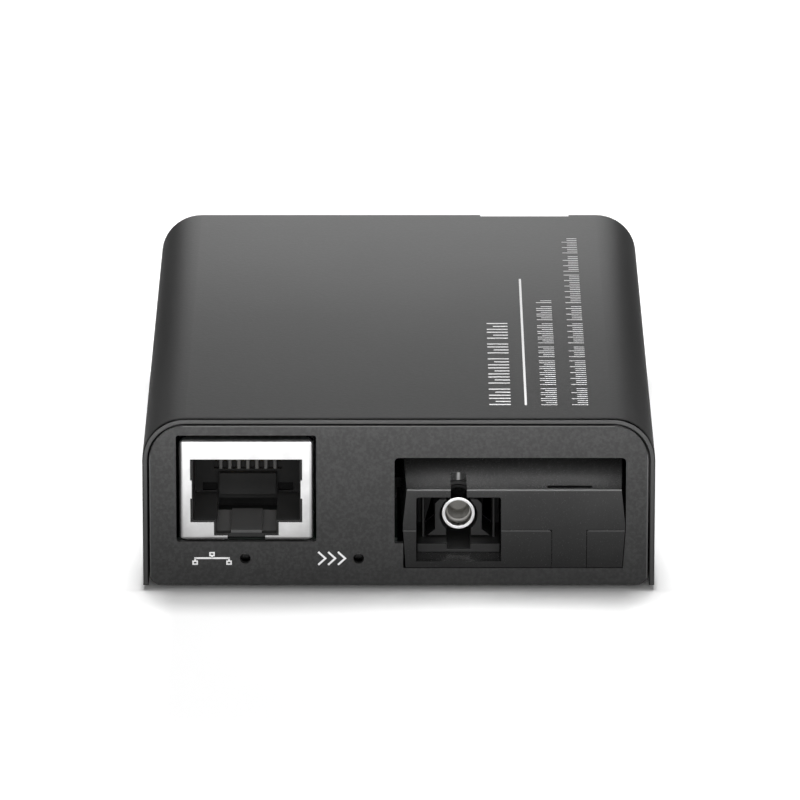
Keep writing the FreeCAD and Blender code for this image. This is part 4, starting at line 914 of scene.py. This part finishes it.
@dataclass
class PaintedLight:
    """Painted highlight and shade on a CAD node's finish, where its edges look lighter or darker.

    They are placed from the point that lies the anchor's shares along the three sides
    of the node's box.
    """

    node: str
    patches: tuple[Patch, ...]
    anchor: Point = (0.5, 0.0, 1.0)

    def apply(self, mesh: Mesh, finish: Finish) -> None:
        """Puts the finish, with its painted highlight and shade, in a mesh's first slot.

        Args:
            mesh: The node's mesh, or a copy of it.
            finish: Its finish.
        """
        low, high = extent(self.node)
        datum = low + np.array(self.anchor) * (high - low)
        patches = []
        for patch in self.patches:
            low, high = (datum + np.array([patch.low, patch.high])).tolist()
            patches.append(replace(patch, low=low, high=high))
        patched = replace(finish.value, patches=tuple(patches))
        mesh.materials[0] = patched.mix(f"{self.node}_finish")


@dataclass
class SoftEdges:
    """A CAD node copied with its sharp edges rounded, to stand for the node."""

    node: str
    radius: float
    steps: int = 2

    def build(self, source: Piece, painted_light: PaintedLight | None) -> Piece:
        """Makes the rounded copy.

        Args:
            source: The node.
            painted_light: The node's patches, if it has any.

        Returns:
            The copy, in place of its CAD node.
        """
        finish = Finish.of(source)
        mesh = source.data.copy()
        settle(mesh, flat=True)
        piece = stand(f"{self.node}_soft", mesh, finish)
        if painted_light:
            painted_light.apply(mesh, finish)
        bevel = piece.modifiers.new("edges", "BEVEL")
        bevel.width = self.radius * MM
        bevel.segments = self.steps
        bevel.limit_method = "ANGLE"
        bevel.angle_limit = SHARP_ANGLE
        bevel.harden_normals = True
        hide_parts(self.node)
        return piece


@dataclass
class Barrel:
    """The drawn steel barrel of the fibre port, with a rounded and polished lip."""

    bore: float = 1.375
    bore_start: float = 0.5
    lip_round: float = 0.16
    mouth_round: float = 0.096
    mouth_taper: float = 0.24
    back_bevel: float = 0.1
    fit: float = 0.02

    @staticmethod
    def axis() -> tuple[Point, float, float]:
        """The front point of the barrel's axis, its radius and its length."""
        low, high = extent("optic_barrel")
        front = ((low[0] + high[0]) / 2, low[1], (low[2] + high[2]) / 2)
        return front, (high[0] - low[0]) / 2, high[1] - low[1]

    def build(self) -> Piece:
        """The barrel's profile turned round its axis, in place of its CAD node."""
        front, outer, length = self.axis()
        sleeve = extent("split_sleeve")[0]
        step = sleeve[1] - front[1]
        seat = front[0] - sleeve[0] + self.fit
        bevel = self.back_bevel
        back = [(seat, step), (seat, length), (outer - bevel, length), (outer, length - bevel)]
        nose = arc((outer - self.lip_round, self.lip_round), self.lip_round, 360, 270, 7)
        mouth = (self.bore + self.mouth_taper, self.mouth_round)
        inner = arc(mouth, self.mouth_round, 270, 200, 7)
        bore = [(self.bore, self.bore_start), (self.bore, step), (seat, step)]
        shape = Shape().grid(turned(np.concatenate([back, nose, inner, bore]), front), around=True)
        piece = shape.make("barrel", Finish.BARREL_STEEL)
        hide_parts("optic_barrel")
        return piece


@dataclass
class BarrelLip:
    """The bright turned face of the barrel's mouth: a painted highlight, white and not metal, for
    the glint of polished steel.
    """

    inset: float = 0.04
    width: float = 0.34
    crown: float = 0.05
    sink: float = 0.03
    back: float = 0.08

    def build(self) -> Piece:
        """The ring, a flat half oval of its width turned round the barrel's axis."""
        front, radius, _ = Barrel.axis()
        outer = radius - self.inset
        angle = np.linspace(0.0, math.pi, 9)
        across = outer - self.width * (1 - np.cos(angle)) / 2
        face = np.stack([across, self.sink - self.crown * np.sin(angle)], axis=1)
        back = [(outer - self.width, self.back), (outer, self.back)]
        profile = np.concatenate([face, back, face[:1]])
        shape = Shape().grid(turned(profile, front), around=True)
        return shape.make("barrel_lip", Finish.LIP_BRIGHT)


@dataclass
class GuideTeeth:
    """The pale ribs between the wires' slots, at the far end of the plug's room.

    Depth is counted from the housing's front, and low and high from its top.
    """

    count: int = 7
    pitch: float = 1.016
    wide: float = 0.44
    thick: float = 0.3
    corner: float = 0.13
    depth: float = 10.65
    low: float = -6.36
    high: float = -2.2

    def build(self) -> Piece:
        """The ribs as one piece, each an upright rod of a rounded section."""
        near, far = extent("jack_housing")
        section = oblong(self.thick, self.wide, self.corner, 4)
        first = (near[0] + far[0] - (self.count - 1) * self.pitch) / 2
        shape = Shape()
        for number in range(self.count):
            foot = (first + number * self.pitch, near[1] + self.depth)
            path = np.array([(*foot, far[2] + level) for level in (self.low, self.high)])
            shape.grid(carry(path, section, (1, 0, 0)), around=True, ends=True)
        return shape.make("guide_teeth", Finish.GUIDE_PLASTIC)


@dataclass
class Contacts:
    """Eight sprung contact wires of the network jack, each bent from flat wire."""

    count: int = 8
    pitch: float = 1.016
    wide: float = 0.36
    sheet: float = 0.28
    corner: float = 0.06
    bend: float = 0.34
    rise_bend: float = 0.6
    stagger: float = 1.0
    tip_place: float = 9.28
    tip_drop: float = 4.4

    def build(self) -> Piece:
        """The wires as one piece, in place of their CAD node."""
        low, high = extent("jack_contacts")
        shape = Shape()
        section = oblong(self.sheet, self.wide, self.corner, 3)
        for number in range(self.count):
            across = low[0] + self.wide / 2 + number * self.pitch
            path = self._path(low, high, self.stagger * (1 - number % 2))
            path = np.column_stack([np.full(len(path), across), path])
            shape.grid(carry(path, section, (1, 0, 0)), around=True, ends=True)
        piece = shape.make("contact_wires", Finish.CONTACT_GOLD)
        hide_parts("jack_contacts")
        return piece

    def _path(self, low: Grid, high: Grid, ahead: float) -> Grid:
        """One wire's middle line: up from the board, forward, and back down as a finger.

        Args:
            low: The lowest corner of the wires' box.
            high: Its highest corner.
            ahead: How far in front of the box's back the wire rises.

        Returns:
            Its points, as an array of n and 2 of places along Y and Z.
        """
        tail = high[1] - self.sheet / 2 - ahead
        roof = high[2] - self.sheet / 2
        fold = low[1] + self.bend + self.sheet / 2
        rise = self.rise_bend
        turn_up = arc((tail - rise, roof - rise), rise, 0, 90, 6)
        turn_back = arc((fold, roof - self.bend), self.bend, 90, 250, 9)
        finger = [(low[1] + self.tip_place, roof - self.tip_drop)]
        return np.concatenate([[(tail, low[2])], turn_up, turn_back, finger])


@dataclass
class LampLens:
    """The dark lens of a side-looking lamp behind its hole in the panel."""

    node: str
    crown: float = 0.18
    steps: int = 16

    def build(self) -> Piece:
        """The lens, in place of its CAD node.

        Its front is a pillow, which at (u, v) in -1 to 1 lies behind the box's front by
        crown * (1 - (1 - u^4) * (1 - v^4)).
        """
        low, high = extent(self.node)
        side = np.linspace(-1, 1, self.steps)
        u, v = np.meshgrid(side, side)
        front = low[1] + self.crown * (1 - (1 - u**4) * (1 - v**4))
        middle, half = (low + high) / 2, (high - low) / 2
        face = np.stack([middle[0] + u * half[0], front, middle[2] + v * half[2]], axis=-1)
        back = face.copy()
        back[..., 1] = high[1]
        shape = Shape().grid(face).grid(back)
        rims = [
            np.concatenate([end[0, :-1], end[:-1, -1], end[-1, :0:-1], end[:0:-1, 0]])
            for end in (face, back)
        ]
        shape.grid(np.stack(rims), around=True)
        piece = shape.make(f"{self.node}_lens", Finish.LAMP_RESIN)
        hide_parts(self.node)
        return piece


# Studio


@dataclass(frozen=True)
class SoftLamp:
    """A soft rectangular lamp, in metres and watts, that shines in gloss or doesn't."""

    name: str
    place: Point
    aim: Point
    size: Pair
    power: float
    shines: bool = True


@dataclass(frozen=True)
class Card:
    """A flat card beside the part that only its reflections see, in millimetres.

    It reaches from its corner along its edge and its side.  Its brightness runs from
    the first of its levels at the edge to the second at the end of the side.
    """

    name: str
    corner: Point
    edge: Point
    side: Point
    levels: Pair


@dataclass
class Studio:
    """The white floor, the lamps and the camera round the part.

    Its target, distance and half sides are in millimetres, its elevation is in degrees
    and its clip in metres.  The lifts say how far the floor's shadow is thinned beside
    the part, beside it behind its front, and just before it.
    """

    target: Point = (0.14, 0.0, 9.36)
    distance: float = 1003.6
    elevation: float = 16.693
    lens: float = 389.54
    sensor: float = 36.0
    clip: Pair = (0.05, 50.0)
    floor_spans: tuple[Point, ...] = ((-6000, -6000, 0), (12000, 0, 0), (0, 12000, 0))
    floor_colour: Colour = grey(244)
    half_sides: Pair = (28.5, 42.5)
    lifts: tuple[float, float, float] = (0.24, 0.16, 0.09)
    ambient: float = 0.15
    lamps: tuple[SoftLamp, ...] = (
        SoftLamp("over", (0, 0.08, 0.50), (0, 0, 0), (0.2, 0.2), 2.3, False),
        SoftLamp("edge", (0, -0.12, 0.40), (0, 0, 0.01), (0.3, 0.04), 0.12),
        SoftLamp("front", (0, -0.40, 0.10), (0, -0.04, 0.01), (0.4, 0.16), 0.6),
        SoftLamp("awning", (0, -0.075, 0.038), (0, -0.042, 0.066), (0.12, 0.02), 0.13, False),
        SoftLamp("glint", (0, -0.075, 0.038), (0, -0.042, 0.066), (0.12, 0.02), 0.022),
        SoftLamp("rear", (0, 0.125, 0.045), (0, 0, 0.02), (0.12, 0.03), 0.02),
        SoftLamp(
            "recess", (0.0128, -0.0388, 0.0156), (0.0128, -0.0388, 0.01), (0.024, 0.005),
            0.004, False,
        ),
    )
    cards: tuple[Card, ...] = (
        Card("left", (-50, -80, 0), (0, 0, 150), (0, 580, 0), (0.09, 0.09)),
        Card("right", (50, -80, 0), (0, 0, 150), (0, 580, 0), (0.09, 0.09)),
        Card("roof", (-50, -100, 36), (100, 0, 0), (0, 135, 0), (0, 0)),
        Card("apron", (-60, -44, 0.2), (120, 0, 0), (0, -56, 0), (0, 1.4)),
    )

    def build(self) -> None:
        """Sets up the floor, the world, the lamps, the cards and the camera."""
        self._floor()
        self._world()
        for lamp in self.lamps:
            self._lamp(lamp)
        for card in self.cards:
            self._card(card)
        self._camera()
        bpy.context.scene.view_settings.view_transform = "Standard"

    @staticmethod
    def _sheet(name: str, *spans: Point) -> Piece:
        """Makes a flat object.

        Args:
            name: Its name.
            spans: Its first corner, edge and side, in millimetres.

        Returns:
            The object.
        """
        corner, edge, side = np.array(spans, float) * MM
        corners = np.array([corner, corner + edge, corner + edge + side, corner + side])
        mesh = bpy.data.meshes.new(name)
        mesh.from_pydata(corners.tolist(), [], [(0, 1, 2, 3)])
        sheet = bpy.data.objects.new(name, mesh)
        bpy.context.scene.collection.objects.link(sheet)
        return sheet

    def _floor(self) -> None:
        """A level square whose colour is white where no shadow falls."""
        floor = self._sheet("studio_floor", *self.floor_spans)
        paint = Paint("studio_floor")
        material = paint.finish(
            Base_Color=self.floor_colour,
            Roughness=0.9,
            Emission_Color=self._seen(paint) * self._glow(paint),
            Emission_Strength=1.0,
        )
        floor.data.materials.append(material)

    def _glow(self, paint: Paint) -> Signal:
        """The light that the floor gives off, where it is seen.

        It thins the shadow beside the part and just before it, but not under it, and
        rises to white from 40 to 200 mm away.

        Args:
            paint: The floor's paint.

        Returns:
            The glow, from distances beyond the part's sides and its front, in metres.
        """
        places = zip("XY", self.half_sides)
        beside, before = (abs(paint.axis(name)) - half * MM for name, half in places)
        away = beside.larger(before)
        beside_lift, behind_lift, before_lift = self.lifts
        return (
            away.ramp(0.0, 0.0006) * beside.ramp(-0.004, 0.0) * beside_lift
            + beside.ramp(0.0, 0.0006) * before.ramp(-0.004, -0.02) * behind_lift
            + before.ramp(0.0002, 0.001) * before.ramp(0.005, 0.002) * before_lift
            + away.ramp(0.04, 0.2)
        )

    @staticmethod
    def _seen(paint: Paint) -> Signal:
        """1 for light on its way to the lens straight, by gloss or through glass."""
        kinds = ("Camera", "Glossy", "Transmission")
        rays = [paint.node("ShaderNodeLightPath", output=f"Is {kind} Ray") for kind in kinds]
        return (rays[0] + rays[1] + rays[2]).smaller(1.0)

    def _world(self) -> None:
        """An even surround: white to the lens, and dimmer as light on the part."""
        sky = Sky("studio_surround")
        level = self._seen(sky) * (1.0 - self.ambient) + self.ambient
        bpy.context.scene.world = sky.finish(Color=WHITE, Strength=level)

    @staticmethod
    def _lamp(lamp: SoftLamp) -> None:
        """Hangs a lamp, facing its aim, that the lens doesn't see."""
        light = bpy.data.lights.new(f"lamp_{lamp.name}", "AREA")
        light.shape = "RECTANGLE"
        light.size, light.size_y = lamp.size
        light.energy = lamp.power
        hung = bpy.data.objects.new(f"lamp_{lamp.name}", light)
        hung.location = lamp.place
        away = Vector(lamp.aim) - Vector(lamp.place)
        hung.rotation_euler = away.to_track_quat("-Z", "Y").to_euler()
        hung.visible_camera = False
        hung.visible_glossy = lamp.shines
        bpy.context.scene.collection.objects.link(hung)

    def _card(self, card: Card) -> None:
        """Stands a card whose shade runs along its side, seen in gloss alone.

        Args:
            card: The card.
        """
        board = self._sheet(f"card_{card.name}", card.corner, card.edge, card.side)
        board.visible_camera = board.visible_diffuse = board.visible_shadow = False
        uv = board.data.uv_layers.new(name="along")
        for loop, place in zip(uv.data, ((0, 0), (0, 1), (1, 1), (1, 0))):
            loop.uv = place
        paint = Paint(f"card_{card.name}")
        paint.material.cycles.emission_sampling = "NONE"
        along = paint.node("ShaderNodeSeparateXYZ", inputs={0: paint.node("ShaderNodeUVMap")})
        near, far = card.levels
        material = paint.finish(
            Base_Color=BLACK,
            Roughness=1.0,
            Specular_IOR_Level=0.0,
            Emission_Color=along * (far - near) + near,
            Emission_Strength=1.0,
        )
        board.data.materials.append(material)

    def _camera(self) -> None:
        """A long lens in front of the part, a little above it."""
        lens = bpy.data.cameras.new("camera")
        lens.lens = self.lens
        lens.sensor_width = self.sensor
        lens.clip_start, lens.clip_end = self.clip
        camera = bpy.data.objects.new("camera", lens)
        rise = math.radians(self.elevation)
        away = Vector((0.0, -math.cos(rise), math.sin(rise)))
        camera.location = (Vector(self.target) + away * self.distance) * MM
        camera.rotation_euler = (-away).to_track_quat("-Z", "Y").to_euler()
        bpy.context.scene.collection.objects.link(camera)
        bpy.context.scene.camera = camera


# The whole


@dataclass
class MediaConverter:
    """The whole part: its CAD nodes dressed, and the pieces that stand on or for them."""

    nodes: dict[str, Piece]
    soft_edges: tuple[SoftEdges, ...] = (
        SoftEdges("base_tray", 0.07),
        SoftEdges("jack_shield", 0.04),
        SoftEdges("jack_housing", 0.06),
        SoftEdges("optic_upper_shell", 0.1),
        SoftEdges("optic_lower_shell", 0.12),
        SoftEdges("optic_latch_carrier", 0.08),
    )
    # Painted highlight and painted shade, patch by patch, on the edges, gaps and hollows of CAD
    # nodes.
    painted_lights: tuple[PaintedLight, ...] = (
        # Painted highlight along the cover's front edge, and a painted line of shade just behind
        # it.
        PaintedLight("top_cover", (
            Patch((-40, -0.1, -30), (40, 0.05, 1), 1.35, 0.02),
            Patch((-40, 0.03, -30), (40, 0.66, 1), 0, 0.02),
        )),
        # Painted highlights along the panel's side and top edges, and painted shade in the gap
        # under the cover's edge.
        PaintedLight("base_tray", (
            Patch((-28, -0.1, -20), (-27.58, 0.3, 1), 2.6),
            Patch((27.58, -0.1, -20), (28, 0.3, 1), 3.2),
            Patch((-24, -0.1, -0.2), (24, 0.3, -0.06), 2.5),
            Patch((-24, -0.1, -0.06), (24, 0.3, 0.1), 0.1),
        )),
        # Painted shade on the shield's top corners behind its face, and painted shade lines along
        # its folded side edges.
        PaintedLight("jack_shield", (
            Patch((-7.6, 1, -0.62), (-6.7, 1.4, 0.1), 0),
            Patch((6.7, 1, -0.62), (7.6, 1.4, 0.1), 0),
            Patch((-7.16, -0.05, -20), (-7, 0.1, -0.3), 0.72),
            Patch((7, -0.05, -20), (7.16, 0.1, -0.3), 0.72),
        )),
        # Painted light on the latch channel's floor and its pad, and painted shade at the
        # channel's rear and on the back wall beside it.
        PaintedLight("jack_housing", (
            Patch((-3.35, 0.95, -10.7), (3.35, 8.8, -10.58), 4.6),
            Patch((-1.8, -0.1, -10.6), (1.8, 8.8, -10.2), 2.8),
            Patch((-3.3, 8.7, -10.72), (3.3, 11, -9.78), 0.12),
            Patch((-5.12, 10.68, -9.05), (-3.38, 11.5, -7.96), 0.1),
            Patch((3.38, 10.68, -9.05), (5.12, 11.5, -7.96), 0.1),
        )),
        # Painted highlight along the module's front top edge, painted shade in its slit, and a
        # painted reflection on the key slot's end wall.
        PaintedLight("optic_upper_shell", (
            Patch((-26, -0.04, -0.14), (0.2, 0.14, 0.03), 8),
            Patch((-9.08, 0.66, -1.3), (-3.95, 1.64, -0.02), 0.03),
            Patch((-19.13, 5.4, -1.1), (-18.62, 6.8, 0.1), 9, 0.2),
        ), anchor=(1, 0, 1)),
        # Painted highlight along the lower shell's front top edge, under the parting line.
        PaintedLight("optic_lower_shell", (Patch((-14, -0.04, -0.16), (14, 0.16, 0.03), 4),)),
    )

    def build(self) -> None:
        """Builds the finish and every piece in order, and reports each piece."""
        painted_lights = {painted_light.node: painted_light for painted_light in self.painted_lights}
        pieces = [
            edges.build(self.nodes[edges.node], painted_lights.get(edges.node))
            for edges in self.soft_edges
        ]
        small = [LampLens(name) for name in LAMPS]
        small += [Barrel(), BarrelLip(), Contacts(), GuideTeeth(), TopPrint()]
        pieces += [piece.build() for piece in small]
        pieces += FrontPrint().build()
        for node in self.nodes.values():
            Finish.of(node).cover(node.data)
        log.info("dressed %d CAD nodes", len(self.nodes))
        # Painted highlight and shade along the cover's front edge.
        painted_lights["top_cover"].apply(self.nodes["top_cover"].data, Finish.CASE_BLACK)
        for piece in pieces:
            log.info("%s: %d points", piece.name, len(piece.data.vertices))


def main() -> None:
    """Dresses the part and sets up its studio."""
    logging.basicConfig(level=logging.INFO, format="%(message)s")
    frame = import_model()
    MediaConverter(frame["nodes"]).build()
    Studio().build()


if __name__ == "__main__":
    main()
